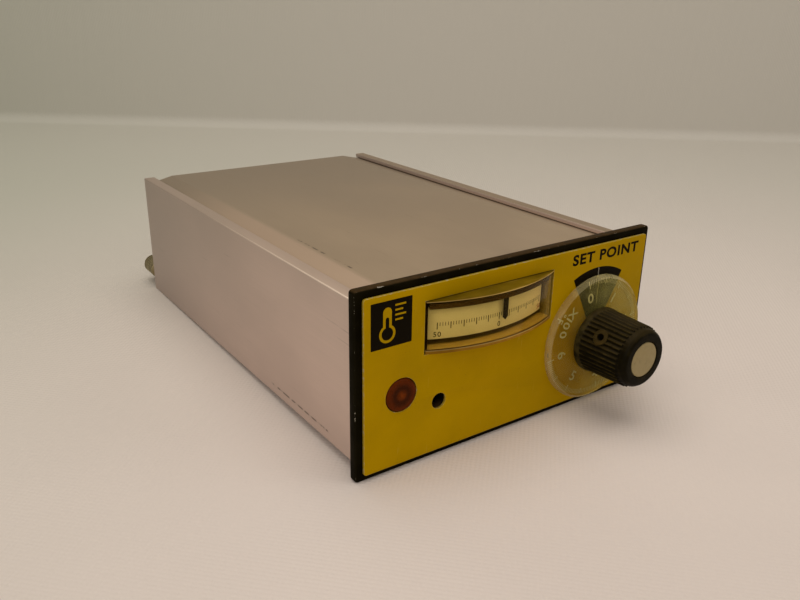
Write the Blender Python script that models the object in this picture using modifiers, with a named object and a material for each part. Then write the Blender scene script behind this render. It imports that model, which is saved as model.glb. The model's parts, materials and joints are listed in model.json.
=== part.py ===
"""Panel-mounting analogue temperature controller with an edgewise meter and a set-point dial.

Lengths are in millimetres and become metres where a mesh is made. X runs to the right as the front is
seen, depth runs back from the bezel's front face, and Z runs up from the bezel's lower edge. The front
faces -Y, and the world origin is under the middle of the whole object.
"""
import math

import bmesh
import bpy
from mathutils import Matrix, Vector

MM = 0.001
GAP = 0.3                  # air between pieces that touch
OVERSHOOT = 1.0            # how far a cutter starts outside what it cuts
MERGE = 0.00001            # metres, for points that coincide

# ---- driving dimensions -------------------------------------------------------------------------
BEZEL_WIDTH, BEZEL_HEIGHT, BEZEL_THICK, BEZEL_EDGE = 144.0, 72.0, 3.8, 0.8
SEAT = 3.3                 # depth of the floor of the shallow recess that the case fits in
CASE_WIDTH, CASE_BOTTOM, CASE_TOP, CASE_DEPTH = 138.0, 4.2, 66.6, 217.0
KNOB_REACH, THUMBSCREW_REACH = 29.0, 17.0
FRONT_Y = KNOB_REACH - (KNOB_REACH + CASE_DEPTH + THUMBSCREW_REACH) / 2

CASE_MIDDLE = (CASE_BOTTOM + CASE_TOP) / 2
CASE_FRONT = SEAT + GAP
CASE_SIDE = CASE_WIDTH / 2

# front plate, and what stands in its openings
PLATE_INSET, PLATE_FRONT, PLATE_CORNER = 2.8, -1.35, 1.2
DIAL_X, DIAL_Z = 41.4, 29.9
LAMP_X, LAMP_Z, LAMP_RADIUS, LAMP_HOLE, LAMP_FACE = -53.8, 30.5, 6.25, 6.65, -2.1
LENS_BACK, LENS_INSIDE, LENS_BORE = 9.0, 0.2, 5.1
HOLDER_RADIUS, HOLDER_BACK, BULB_RADIUS, BULB_TIP, BULB_END = 6.8, 26.7, 2.2, 1.5, 21.7
TRIM_X, TRIM_Z, TRIM_RADIUS, TRIM_HOLE = -37.1, 23.2, 3.1, 3.3
TRIMMER_FRONT, TRIMMER_REACH, TRIMMER_BORE, TRIMMER_FLOOR = 12.0, 4.8, 2.2, 16.0
METER_X, METER_Z, METER_WIDTH, METER_HEIGHT = -13.8, 53.3, 60.4, 19.6

# side extrusion, as distances in from the outer face and down from the top edge
WALL, LIP_REACH, LIP_DEPTH, LEDGE_DROP = 2.2, 5.5, 1.9, 3.7
CHANNEL_REACH, CHANNEL_DROP = 8.6, 13.8
REAR_REBATE = 67.0

# screws
SCREW_INSET, SCREW_DROP = 4.7, 9.3
SCREW_RADIUS, SCREW_HOLE = 1.6, 1.95
CONE_HEAD, CONE_TOP, CONE_END = 3.1, 0.2, 2.0
SINK_RADIUS, SINK_END = 4.4, 2.05
FRONT_SCREW_TIP, REAR_SCREW_TIP, BLOCK_SCREW_TIP = 13.5, 204.0, 211.0
FRONT_CHANNEL, REAR_CHANNEL = 16.0, 202.0      # where the threaded holes in the side channels end
THUMB_RADIUS, THUMB_NECK, THUMB_NECK_LENGTH = 5.1, 3.1, 2.1

# folded covers, as distances from the middle and down from the case's top edge
COVER_SHEET, COVER_EDGE, COVER_FOLD, COVER_CREASE = 1.0, 66.3, 62.9, 53.9
COVER_EDGE_DROP, COVER_TOP_DROP = 2.35, 0.3

REAR_PANEL_THICK = 2.0
REAR_FRONT = CASE_DEPTH - REAR_PANEL_THICK

# set-point control
DISC_RADIUS, DISC_FRONT, DISC_BACK, DISC_CHAMFER = 26.7, -4.55, -1.8, 1.2
SHAFT_RADIUS, SHAFT_HOLE, SHAFT_END = 3.0, 3.3, 11.7
BUSHING_RADIUS, BUSHING_HOLE, BUSHING_FRONT = 4.6, 4.95, 0.4
NUT_RADIUS, NUT_FRONT, NUT_BACK, NUT_RECESS, NUT_FLOOR = 7.0, 0.2, 2.2, 8.4, 2.5
POT_RADIUS, POT_BACK = 12.0, 16.0
KNOB_BACK = DISC_FRONT - GAP
KNOB_FLANGE, KNOB_BODY, KNOB_NOSE, KNOB_COLLAR, KNOB_FACE = 13.65, 13.4, 12.75, 12.0, 10.5
KNOB_SLOPE, KNOB_COLLAR_LENGTH, KNOB_BORE, KNOB_FLANGE_THICK = 1.4, 3.3, 4.8, 2.1
CAP_RADIUS, CAP_RECESS, CAP_FRONT = 7.15, 1.0, 0.15
SET_SCREW_ANGLE, SET_SCREW_DEPTH = 56.5, -15.4
SET_SCREW_RADIUS, SET_SCREW_HOLE, SET_SCREW_LOW, SET_SCREW_HIGH = 1.1, 1.4, 3.6, 8.4

# meter movement
PIVOT_DEPTH = 61.0
WINDOW_RADIUS, WINDOW_WALL, WINDOW_CLEARANCE = 69.5, 1.2, 0.4
HOUSING_SIDE, HOUSING_EDGE, HOUSING_WALL, HOUSING_BACK = 1.8, 1.1, 1.2, 84.0
SCALE_RADIUS, SCALE_HALF_ANGLE, SCALE_BOTTOM, SCALE_TOP, SCALE_THICK = 65.0, 24.5, 47.2, 59.2, 1.0
MASK_RADIUS, MASK_HALF_ANGLE, MASK_BOTTOM, MASK_TOP, MASK_THICK = 67.6, 24.0, 59.6, 61.6, 0.6
SHELF_THICK, SHELF_OFFSET, SHELF_BACK = 0.8, 0.2, 12.0
POINTER_RADIUS, POINTER_REST, POINTER_TIP = 66.5, 2.35, 50.7
POINTER_BOTTOM, POINTER_TOP, POINTER_WIDTH, POINTER_HUB = 59.6, 60.2, 1.0, 2.4
BLADE_WIDTH, BLADE_THICK = 2.4, 0.5
MAGNET_BOTTOM, MAGNET_TOP, MAGNET_SIDE, MAGNET_FRONT, MAGNET_BACK = 49.0, 57.0, 19.0, -15.0, 18.0
CORE_RADIUS, MAGNET_BORE, CORE_OPENING, CORE_FOOT, CORE_REACH = 8.0, 11.0, 20, 2.6, 10.6
COIL_HALF, COIL_BOTTOM, COIL_TOP, COIL_WIRE, COIL_DEPTH = 10.0, 47.5, 58.5, 1.0, 2.0
SPINDLE_RADIUS, SPINDLE_HOLE, SPINDLE_BOTTOM, SPINDLE_TOP = 0.7, 1.1, 44.0, 62.6

# main board and what stands on it
BOARD_BOTTOM, BOARD_THICK = 12.0, 1.6
BOARD_TOP = BOARD_BOTTOM + BOARD_THICK
BOARD_SIDE, BOARD_FRONT, BOARD_BACK = 59.0, 22.0, 200.0
FRONT_BOARD_LEFT, FRONT_BOARD_RIGHT, FRONT_BOARD_DEPTH, FRONT_BOARD_TOP = -59.5, -28.0, 27.0, 41.5
STANDOFF_X, STANDOFF_FRONT, STANDOFF_BACK, STANDOFF_RADIUS = 50.0, 36.0, 190.0, 3.0
ON_BOARD = BOARD_TOP + GAP
CORE_LEFT, CORE_RIGHT, CORE_HEIGHT, CORE_FRONT, CORE_BACK = -50.0, -8.0, 35.0, 155.0, 171.0
CORE_LEG, CORE_WINDOW, WINDING_SLACK, WINDING_OUT = 7.0, 7.0, 0.4, 6.0
CAPACITOR_X, CAPACITOR_DEPTH = -30.0, 125.0
CAPACITOR_RADIUS, CAPACITOR_HEIGHT, CAPACITOR_EDGE = 9.0, 28.0, 0.8
RELAY_HINGE, RELAY_FRONT, RELAY_BACK, RELAY_FOOT, RELAY_HEIGHT = 18.0, 125.0, 143.0, 26.0, 20.0
RELAY_STEEL, ARMATURE_THICK, ARMATURE_LENGTH, POLE_GAP = 1.6, 1.2, 25.0, 1.2
RELAY_COIL_X, RELAY_COIL_RADIUS, RELAY_POLE_RADIUS, RELAY_POLE_HEIGHT = 14.0, 8.0, 3.0, 1.0

# terminal block
TERMINALS, TERMINAL_PITCH, BARRIER = 8, 11.0, 1.6
BLOCK_BOTTOM, BLOCK_TOP = 27.5, 43.5
BLOCK_BASE, BLOCK_BARRIER, BLOCK_EAR, BLOCK_END = 7.0, 12.7, 5.2, 4.0
BLOCK_MIDDLE, EAR_X = (BLOCK_BOTTOM + BLOCK_TOP) / 2, TERMINALS * TERMINAL_PITCH / 2 + BLOCK_EAR
TERMINAL_RAISE, TERMINAL_FLOOR, TERMINAL_HEAD, TERMINAL_HEAD_THICK = 1.6, 1.2, 3.2, 2.3

# colour, roughness, metallic
FINISHES = {
    "bezel_black": ((0.025, 0.025, 0.027), 0.55, 0.0),
    "plate_yellow": ((0.62, 0.42, 0.03), 0.45, 0.0),
    "aluminium": ((0.62, 0.61, 0.58), 0.38, 1.0),
    "cover_grey": ((0.46, 0.46, 0.43), 0.5, 0.6),
    "steel": ((0.55, 0.55, 0.56), 0.35, 1.0),
    "brass": ((0.75, 0.58, 0.25), 0.3, 1.0),
    "black_plastic": ((0.02, 0.02, 0.021), 0.4, 0.0),
    "brown_phenolic": ((0.09, 0.045, 0.025), 0.5, 0.0),
    "board_green": ((0.05, 0.2, 0.08), 0.5, 0.0),
    "clear_plastic": ((0.85, 0.87, 0.85), 0.1, 0.0),
    "disc_plastic": ((0.85, 0.84, 0.78), 0.2, 0.0),
    "lens_red": ((0.35, 0.03, 0.01), 0.15, 0.0),
    "scale_white": ((0.88, 0.88, 0.84), 0.5, 0.0),
    "copper": ((0.72, 0.33, 0.15), 0.4, 1.0),
    "core_steel": ((0.25, 0.25, 0.26), 0.5, 1.0),
}


# ---- helpers ------------------------------------------------------------------------------------
def place(x, depth, z):
    """World position in metres of a point given by x, depth behind the bezel's front, and z."""
    return Vector((x, depth + FRONT_Y, z)) * MM


def mirror_z(z):
    """The same height measured from the case's other edge."""
    return 2 * CASE_MIDDLE - z


def add(name, mesh, location, finish, rotation=(0, 0, 0), cutter=False):
    obj = bpy.data.objects.new(name, mesh)
    obj.location = location
    obj.rotation_euler = rotation
    if cutter:
        CUTTERS.objects.link(obj)
        obj.hide_render = True
        obj.display_type = "WIRE"
    else:
        PARTS.objects.link(obj)
        mesh.materials.clear()
        mesh.materials.append(MATERIALS[finish])
    return obj


def box(name, low, high, finish=None):
    """Block between two corners given as (x, depth, z)."""
    size = Vector(high) - Vector(low)
    bm = bmesh.new()
    bmesh.ops.create_cube(bm, size=1.0)
    bmesh.ops.scale(bm, vec=size * MM, verts=bm.verts)
    mesh = bpy.data.meshes.new(name)
    bm.to_mesh(mesh)
    bm.free()
    middle = (Vector(low) + Vector(high)) / 2
    return add(name, mesh, place(*middle), finish, cutter=finish is None)


def turned(name, centre, profile, finish=None, upright=False, steps=32):
    """Solid of revolution. The profile is (radius, depth) from front to back on an axis at (x, z), or
    (radius, z) from top to bottom on an upright axis at (x, depth)."""
    sign = 1 if upright else -1
    points = [(radius * MM, 0, sign * height * MM) for radius, height in profile]
    closed = profile[0][0] > 0
    edges = [(i, i + 1) for i in range(len(points) - 1)]
    if closed:
        edges.append((len(points) - 1, 0))
    mesh = bpy.data.meshes.new(name)
    mesh.from_pydata(points, edges, [])
    if upright:
        obj = add(name, mesh, place(centre[0], centre[1], 0), finish, cutter=finish is None)
    else:
        obj = add(name, mesh, place(centre[0], 0, centre[1]), finish, (math.pi / 2, 0, 0), finish is None)
    screw = obj.modifiers.new("Turn", "SCREW")
    screw.steps = screw.render_steps = steps
    screw.use_merge_vertices = True
    screw.merge_threshold = MERGE
    return obj


def prism(name, outlines, low, high, finish=None, upright=False, origin=(0, 0)):
    """Closed outlines (the first outside, the rest holes) pushed out from low to high. They are (x, z)
    outlines along the depth, or (x, depth) outlines along Z, about the given origin."""
    curve = bpy.data.curves.new(name, "CURVE")
    curve.dimensions = "2D"
    curve.fill_mode = "BOTH"
    curve.extrude = (high - low) / 2 * MM
    for outline in outlines:
        spline = curve.splines.new("POLY")
        spline.points.add(len(outline) - 1)
        for point, (across, along) in zip(spline.points, outline):
            point.co = (across * MM, along * MM, 0, 1)
        spline.use_cyclic_u = True
    guide = bpy.data.objects.new(name + "_outline", curve)
    CUTTERS.objects.link(guide)
    graph = bpy.context.evaluated_depsgraph_get()
    mesh = bpy.data.meshes.new_from_object(guide.evaluated_get(graph))
    bpy.data.objects.remove(guide)
    bm = bmesh.new()
    bm.from_mesh(mesh)
    bmesh.ops.remove_doubles(bm, verts=bm.verts, dist=MERGE)
    bmesh.ops.recalc_face_normals(bm, faces=bm.faces)
    bm.to_mesh(mesh)
    bm.free()
    middle = (low + high) / 2
    if upright:
        return add(name, mesh, place(origin[0], origin[1], middle), finish, cutter=finish is None)
    return add(name, mesh, place(origin[0], middle, origin[1]), finish, (math.pi / 2, 0, 0),
               finish is None)


def combine(obj, other, operation="DIFFERENCE"):
    boolean = obj.modifiers.new("Boolean", "BOOLEAN")
    boolean.operation = operation
    boolean.solver = "EXACT"
    boolean.object = other


def cylinder(radius, start, end):
    """Profile of a plain rod or hole."""
    return [(0, start), (radius, start), (radius, end), (0, end)]


def drill(obj, name, centre, radius, start, end, steps=32):
    combine(obj, turned("cut_" + name, centre, cylinder(radius, start, end), steps=steps))


def arc(centre, radius, start, end, count):
    """Points on an arc. Degrees run clockwise from the second axis, from start to end."""
    angles = [math.radians(start + (end - start) * i / count) for i in range(count + 1)]
    return [(centre[0] + radius * math.sin(a), centre[1] + radius * math.cos(a)) for a in angles]


def circle(centre, radius, count=32):
    return arc(centre, radius, 0, 360, count)[:-1]


def front_arc(radius, half_angle, count=24):
    """Points from left to right on an arc about the meter's pivot, bulging to the front."""
    return arc((0, 0), radius, 180 + half_angle, 180 - half_angle, count)


def rounded_rectangle(low, high, radius, count=4):
    corners = [(high[0] - radius, high[1] - radius, 0), (high[0] - radius, low[1] + radius, 90),
               (low[0] + radius, low[1] + radius, 180), (low[0] + radius, high[1] - radius, 270)]
    return [p for x, y, turn in corners for p in arc((x, y), radius, turn, turn + 90, count)]


def rectangle(low, high):
    return [(low[0], low[1]), (high[0], low[1]), (high[0], high[1]), (low[0], high[1])]


def cone_screw(name, centre):
    return turned(name, centre, [(0, CONE_TOP), (CONE_HEAD, CONE_TOP), (SCREW_RADIUS, CONE_END),
                                 (SCREW_RADIUS, FRONT_SCREW_TIP), (0, FRONT_SCREW_TIP)], "steel", steps=20)


def pan_screw(name, centre, tip, seat, finish="steel", head=3.0, thick=1.9):
    """Screw that runs forward from a round head standing on its seat."""
    slope = 0.7
    turned(name, centre, [(0, tip), (SCREW_RADIUS, tip), (SCREW_RADIUS, seat), (head, seat),
                          (head, seat + thick - slope), (head - slope, seat + thick), (0, seat + thick)],
           finish, steps=20)


def group(name, location, members):
    """Parent pieces to an empty on their joint's axis, leaving them where they are."""
    empty = bpy.data.objects.new(name, None)
    PARTS.objects.link(empty)
    empty.location = location
    for obj in members:
        obj.parent = empty
        obj.matrix_parent_inverse = Matrix.Translation(location).inverted()


# ---- front --------------------------------------------------------------------------------------
def case_screw_places():
    """Lower left, lower right, upper right, upper left."""
    x = CASE_SIDE - SCREW_INSET
    low, high = CASE_BOTTOM + SCREW_DROP, CASE_TOP - SCREW_DROP
    return [(-x, low), (x, low), (x, high), (-x, high)]


def build_bezel():
    half = BEZEL_WIDTH / 2
    bezel = box("bezel_frame", (-half, 0, 0), (half, BEZEL_THICK, BEZEL_HEIGHT), "bezel_black")
    bevel = bezel.modifiers.new("Edges", "BEVEL")
    bevel.width = BEZEL_EDGE * MM
    bevel.segments = 3
    before, through = -OVERSHOOT, BEZEL_THICK + OVERSHOOT
    combine(bezel, box("cut_seat", (-CASE_SIDE - GAP, SEAT, CASE_BOTTOM - GAP),
                       (CASE_SIDE + GAP, through, CASE_TOP + GAP)))
    reach_x, reach_z = METER_WIDTH / 2 + WINDOW_CLEARANCE, METER_HEIGHT / 2 + WINDOW_CLEARANCE
    combine(bezel, box("cut_meter", (METER_X - reach_x, before, METER_Z - reach_z),
                       (METER_X + reach_x, through, METER_Z + reach_z)))
    drill(bezel, "lamp", (LAMP_X, LAMP_Z), LAMP_HOLE, before, through)
    drill(bezel, "trim", (TRIM_X, TRIM_Z), TRIM_HOLE, before, through)
    combine(bezel, turned("cut_bushing", (DIAL_X, DIAL_Z), [
        (0, before), (NUT_RECESS, before), (NUT_RECESS, NUT_FLOOR), (BUSHING_HOLE, NUT_FLOOR),
        (BUSHING_HOLE, through), (0, through)]))
    for number, centre in enumerate(case_screw_places(), 1):
        sink = [(0, before), (SINK_RADIUS, before), (SCREW_HOLE, SINK_END), (SCREW_HOLE, through),
                (0, through)]
        combine(bezel, turned(f"cut_front_screw_{number}", centre, sink, steps=20))
        cone_screw(f"front_screw_{number}", centre)


def build_front_plate():
    half = BEZEL_WIDTH / 2 - PLATE_INSET
    border = rounded_rectangle((-half, PLATE_INSET), (half, BEZEL_HEIGHT - PLATE_INSET), PLATE_CORNER)
    reach_x, reach_z = METER_WIDTH / 2 + GAP, METER_HEIGHT / 2 + GAP
    meter = rectangle((METER_X - reach_x, METER_Z - reach_z), (METER_X + reach_x, METER_Z + reach_z))
    holes = [circle((LAMP_X, LAMP_Z), LAMP_RADIUS + GAP), circle((TRIM_X, TRIM_Z), TRIM_RADIUS),
             circle((DIAL_X, DIAL_Z), SHAFT_RADIUS + 0.5)]
    prism("front_plate", [border, meter] + holes, PLATE_FRONT, -GAP, "plate_yellow")


def build_lamp():
    centre = (LAMP_X, LAMP_Z)
    turned("lamp_lens", centre, [
        (0, LAMP_FACE), (3.0, LAMP_FACE + 0.1), (5.2, LAMP_FACE + 0.35), (LAMP_RADIUS, LAMP_FACE + 0.9),
        (LAMP_RADIUS, LENS_BACK), (LENS_BORE, LENS_BACK), (LENS_BORE, LENS_INSIDE), (0, LENS_INSIDE)],
        "lens_red")
    turned("lamp_holder", centre, [
        (0, BULB_END + GAP), (BULB_RADIUS + 0.4, BULB_END + GAP), (BULB_RADIUS + 0.4, LENS_BACK + GAP),
        (HOLDER_RADIUS, LENS_BACK + GAP), (HOLDER_RADIUS, HOLDER_BACK), (0, HOLDER_BACK)],
        "black_plastic", steps=24)
    turned("neon_bulb", centre, [
        (0, BULB_TIP), (1.3, BULB_TIP + 0.4), (BULB_RADIUS, BULB_TIP + 1.7), (BULB_RADIUS, BULB_END),
        (0, BULB_END)], "clear_plastic", steps=16)


def build_trimmer():
    centre, reach = (TRIM_X, TRIM_Z), TRIMMER_REACH
    body = box("trimmer_body", (TRIM_X - reach, TRIMMER_FRONT, TRIM_Z - reach),
               (TRIM_X + reach, HOLDER_BACK, TRIM_Z + reach), "black_plastic")
    drill(body, "trimmer", centre, TRIMMER_BORE, TRIMMER_FRONT - OVERSHOOT, TRIMMER_FLOOR, 24)
    top, slot_depth, slot_half = TRIMMER_FRONT - 2.0, 0.9, 0.35
    screw = turned("trimmer_screw", centre, cylinder(TRIMMER_BORE - GAP, top, TRIMMER_FLOOR - GAP), "brass",
                   steps=24)
    combine(screw, box("cut_slot", (TRIM_X - TRIMMER_BORE, top - OVERSHOOT, TRIM_Z - slot_half),
                       (TRIM_X + TRIMMER_BORE, top + slot_depth, TRIM_Z + slot_half)))


# ---- set-point control --------------------------------------------------------------------------
def build_setpoint():
    centre = (DIAL_X, DIAL_Z)
    disc = turned("dial_disc", centre, [
        (SHAFT_HOLE, DISC_FRONT), (DISC_RADIUS - DISC_CHAMFER, DISC_FRONT),
        (DISC_RADIUS, DISC_FRONT + DISC_CHAMFER), (DISC_RADIUS, DISC_BACK), (SHAFT_HOLE, DISC_BACK)],
        "disc_plastic", steps=64)
    face = -KNOB_REACH
    recess, bore_end = face + CAP_RECESS, face + KNOB_BORE
    flutes, flange = face + KNOB_COLLAR_LENGTH + GAP, KNOB_BACK - KNOB_FLANGE_THICK
    knob = turned("setpoint_knob", centre, [
        (0, recess), (CAP_RADIUS + GAP, recess), (CAP_RADIUS + GAP, face), (KNOB_FACE, face),
        (KNOB_COLLAR - GAP, face + KNOB_SLOPE), (KNOB_COLLAR, face + KNOB_COLLAR_LENGTH), (KNOB_NOSE, flutes),
        (KNOB_BODY, flange - GAP), (KNOB_FLANGE, flange), (KNOB_FLANGE, KNOB_BACK),
        (SHAFT_HOLE, KNOB_BACK), (SHAFT_HOLE, bore_end), (0, bore_end)], "black_plastic", steps=48)
    cap = turned("knob_cap", centre, cylinder(CAP_RADIUS, face + CAP_FRONT, recess - GAP), "aluminium",
                 steps=48)
    shaft = turned("pot_shaft", centre, cylinder(SHAFT_RADIUS, bore_end + GAP, SHAFT_END), "steel", steps=24)
    where, lean = place(DIAL_X, SET_SCREW_DEPTH, DIAL_Z), (0, -math.radians(SET_SCREW_ANGLE), 0)
    outside, inside = KNOB_BODY + OVERSHOOT, 1.0
    hole = turned("cut_set_screw", (0, 0), cylinder(SET_SCREW_HOLE, outside, inside), upright=True, steps=20)
    hole.location, hole.rotation_euler = where, lean
    combine(knob, hole)
    screw = turned("knob_set_screw", (0, 0), cylinder(SET_SCREW_RADIUS, SET_SCREW_HIGH, SET_SCREW_LOW),
                   "steel", upright=True, steps=16)
    screw.location, screw.rotation_euler = where, lean
    group("setpoint_axis", place(DIAL_X, 0, DIAL_Z), [disc, knob, cap, shaft, screw])

    floor, bore = SHAFT_END + GAP, SHAFT_RADIUS + 0.35
    turned("pot_body", centre, [
        (0, floor), (bore, floor), (bore, BUSHING_FRONT), (BUSHING_RADIUS, BUSHING_FRONT),
        (BUSHING_RADIUS, CASE_FRONT), (POT_RADIUS, CASE_FRONT), (POT_RADIUS, POT_BACK), (0, POT_BACK)],
        "aluminium")
    hexagon = circle(centre, NUT_RADIUS, 6)
    prism("pot_nut", [hexagon, circle(centre, BUSHING_HOLE, 24)], NUT_FRONT, NUT_BACK, "brass")


# ---- meter --------------------------------------------------------------------------------------
def window_outline(radius, half_width, back):
    """Clear window seen from above: a bulging front with straight sides, about the pivot."""
    half_angle = math.degrees(math.asin(half_width / radius))
    rear = back - PIVOT_DEPTH
    return front_arc(radius, half_angle) + [(half_width, rear), (-half_width, rear)]


def arc_band(outer, thick, half_angle):
    return front_arc(outer, half_angle) + front_arc(outer - thick, half_angle)[::-1]


def shelf_outline(radius, band_angle):
    """Flat shelf behind an arc band, a little narrower, running back into the housing."""
    front = front_arc(radius, band_angle - 0.5)
    rear = SHELF_BACK - PIVOT_DEPTH
    return front + [(front[-1][0], rear), (front[0][0], rear)]


def build_meter_case():
    pivot = (METER_X, PIVOT_DEPTH)
    bottom, top = METER_Z - METER_HEIGHT / 2, METER_Z + METER_HEIGHT / 2
    half = METER_WIDTH / 2
    window = prism("meter_window", [window_outline(WINDOW_RADIUS, half, SEAT)], bottom, top,
                   "clear_plastic", upright=True, origin=pivot)
    inner = window_outline(WINDOW_RADIUS - WINDOW_WALL, half - WINDOW_WALL, SEAT + OVERSHOOT)
    combine(window, prism("cut_window", [inner], bottom + WINDOW_WALL, top - WINDOW_WALL, upright=True,
                          origin=pivot))
    wide, wall = half + HOUSING_SIDE, HOUSING_WALL
    low, high = bottom - HOUSING_EDGE, top + HOUSING_EDGE
    housing = box("meter_housing", (METER_X - wide, CASE_FRONT, low), (METER_X + wide, HOUSING_BACK, high),
                  "black_plastic")
    combine(housing, box("cut_housing", (METER_X - wide + wall, CASE_FRONT - OVERSHOOT, low + wall),
                         (METER_X + wide - wall, HOUSING_BACK - wall, high - wall)))

    scale = prism("meter_scale", [arc_band(SCALE_RADIUS, SCALE_THICK, SCALE_HALF_ANGLE)],
                  SCALE_BOTTOM, SCALE_TOP, "scale_white", upright=True, origin=pivot)
    outline = shelf_outline(SCALE_RADIUS - SCALE_THICK / 2, SCALE_HALF_ANGLE)
    shelf = SCALE_BOTTOM + SHELF_OFFSET
    combine(scale, prism("scale_shelf", [outline], shelf, shelf + SHELF_THICK, upright=True, origin=pivot),
            "UNION")
    mask = prism("meter_mask", [arc_band(MASK_RADIUS, MASK_THICK, MASK_HALF_ANGLE)], MASK_BOTTOM, MASK_TOP,
                 "black_plastic", upright=True, origin=pivot)
    outline = shelf_outline(MASK_RADIUS - MASK_THICK / 2, MASK_HALF_ANGLE)
    shelf = MASK_TOP - SHELF_OFFSET
    combine(mask, prism("mask_shelf", [outline], shelf - MASK_THICK, shelf, upright=True, origin=pivot),
            "UNION")


def build_meter_movement():
    pivot = (METER_X, PIVOT_DEPTH)
    magnet = rectangle((-MAGNET_SIDE, MAGNET_FRONT), (MAGNET_SIDE, MAGNET_BACK))
    prism("meter_magnet", [magnet, circle((0, 0), MAGNET_BORE, 40)], MAGNET_BOTTOM, MAGNET_TOP, "core_steel",
          upright=True, origin=pivot)
    core = arc((0, 0), CORE_RADIUS, CORE_OPENING, 360 - CORE_OPENING, 32)
    core += [(-CORE_FOOT, CORE_REACH), (CORE_FOOT, CORE_REACH)]
    prism("meter_core", [core], MAGNET_BOTTOM, MAGNET_TOP, "core_steel", upright=True, origin=pivot)

    inner = COIL_HALF - COIL_WIRE
    frame = [rectangle((-COIL_HALF, COIL_BOTTOM), (COIL_HALF, COIL_TOP)),
             rectangle((-inner, COIL_BOTTOM + COIL_WIRE), (inner, COIL_TOP - COIL_WIRE))]
    coil = prism("meter_coil", frame, PIVOT_DEPTH - COIL_DEPTH, PIVOT_DEPTH + COIL_DEPTH, "copper",
                 origin=(METER_X, 0))
    for name, low, high in (("spindle_upper", COIL_TOP - 0.5, SPINDLE_TOP),
                            ("spindle_lower", SPINDLE_BOTTOM, COIL_BOTTOM + 0.5)):
        stub = turned(name, pivot, cylinder(SPINDLE_RADIUS, high, low), upright=True, steps=12)
        combine(coil, stub, "UNION")

    half, tip = POINTER_WIDTH / 2, GAP - POINTER_RADIUS
    arm = arc((0, 0), POINTER_HUB, 195, 525, 20) + [(half, tip), (-half, tip)]
    pointer = prism("meter_pointer", [arm[::-1], circle((0, 0), SPINDLE_HOLE, 12)], POINTER_BOTTOM,
                    POINTER_TOP, "black_plastic", upright=True, origin=pivot)
    half = BLADE_WIDTH / 2
    blade = [(-half, POINTER_TIP + half), (0, POINTER_TIP), (half, POINTER_TIP + half),
             (half, POINTER_TOP - 0.2), (-half, POINTER_TOP - 0.2)]
    near = PIVOT_DEPTH - POINTER_RADIUS
    flag = prism("pointer_flag", [blade], near, near + BLADE_THICK, origin=(METER_X, 0))
    swing = math.radians(POINTER_REST)
    pointer.rotation_euler.z = swing
    hub = Matrix.Translation(place(*pivot, 0))
    turn = hub @ Matrix.Rotation(swing, 4, "Z") @ hub.inverted()
    flag.matrix_world = turn @ Matrix.Translation(flag.location) @ Matrix.Rotation(math.pi / 2, 4, "X")
    combine(pointer, flag, "UNION")
    group("meter_axis", place(*pivot, 0), [coil, pointer])


# ---- case ---------------------------------------------------------------------------------------
def side_outline(side):
    """Extrusion seen from the end: a wall with a lip, a cover groove and a screw channel at each edge."""
    upper = [(0, 0), (LIP_REACH, 0), (LIP_REACH, LIP_DEPTH), (WALL, LIP_DEPTH), (WALL, LEDGE_DROP),
             (CHANNEL_REACH, LEDGE_DROP), (CHANNEL_REACH, CHANNEL_DROP), (WALL, CHANNEL_DROP)]
    right = [(side * (CASE_SIDE - inward), CASE_TOP - down) for inward, down in upper]
    return right + [(x, mirror_z(z)) for x, z in right[::-1]]


def build_side_panels():
    beyond, edge = CASE_DEPTH + OVERSHOOT, LEDGE_DROP - 0.1
    rebate = box("cut_rebate", (-REAR_REBATE, REAR_FRONT - GAP, CASE_BOTTOM + edge),
                 (REAR_REBATE, beyond, CASE_TOP - edge))
    holes = []
    for number, (x, z) in enumerate(case_screw_places(), 1):
        for end, near, far in (("front", CASE_FRONT - OVERSHOOT, FRONT_CHANNEL),
                               ("rear", REAR_CHANNEL, beyond)):
            cutter = turned(f"cut_{end}_channel_{number}", (x, z), cylinder(SCREW_HOLE, near, far), steps=20)
            holes.append((x, cutter))
    for name, side in (("side_panel_left", -1), ("side_panel_right", 1)):
        panel = prism(name, [side_outline(side)], CASE_FRONT, CASE_DEPTH, "aluminium")
        combine(panel, rebate)
        for x, hole in holes:
            if x * side > 0:
                combine(panel, hole)


def build_cover(name, upper):
    """Folded sheet whose two edges slide in the grooves of the side extrusions."""
    half = [(COVER_CREASE, COVER_TOP_DROP), (COVER_FOLD, COVER_EDGE_DROP), (COVER_EDGE, COVER_EDGE_DROP)]
    section = [(-x, CASE_TOP - drop) for x, drop in half[::-1]] + [(x, CASE_TOP - drop) for x, drop in half]
    if not upper:
        section = [(x, mirror_z(z)) for x, z in section[::-1]]
    bm = bmesh.new()
    lines = []
    for depth in (BEZEL_THICK + GAP, CASE_DEPTH):
        lines.append([bm.verts.new(place(x, depth, z)) for x, z in section])
    near, far = lines
    for i in range(len(section) - 1):
        bm.faces.new((near[i], near[i + 1], far[i + 1], far[i]))
    mesh = bpy.data.meshes.new(name)
    bm.to_mesh(mesh)
    bm.free()
    cover = add(name, mesh, (0, 0, 0), "cover_grey")
    solidify = cover.modifiers.new("Sheet", "SOLIDIFY")
    solidify.thickness = COVER_SHEET * MM
    solidify.offset = -1
    solidify.use_even_offset = True


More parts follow.
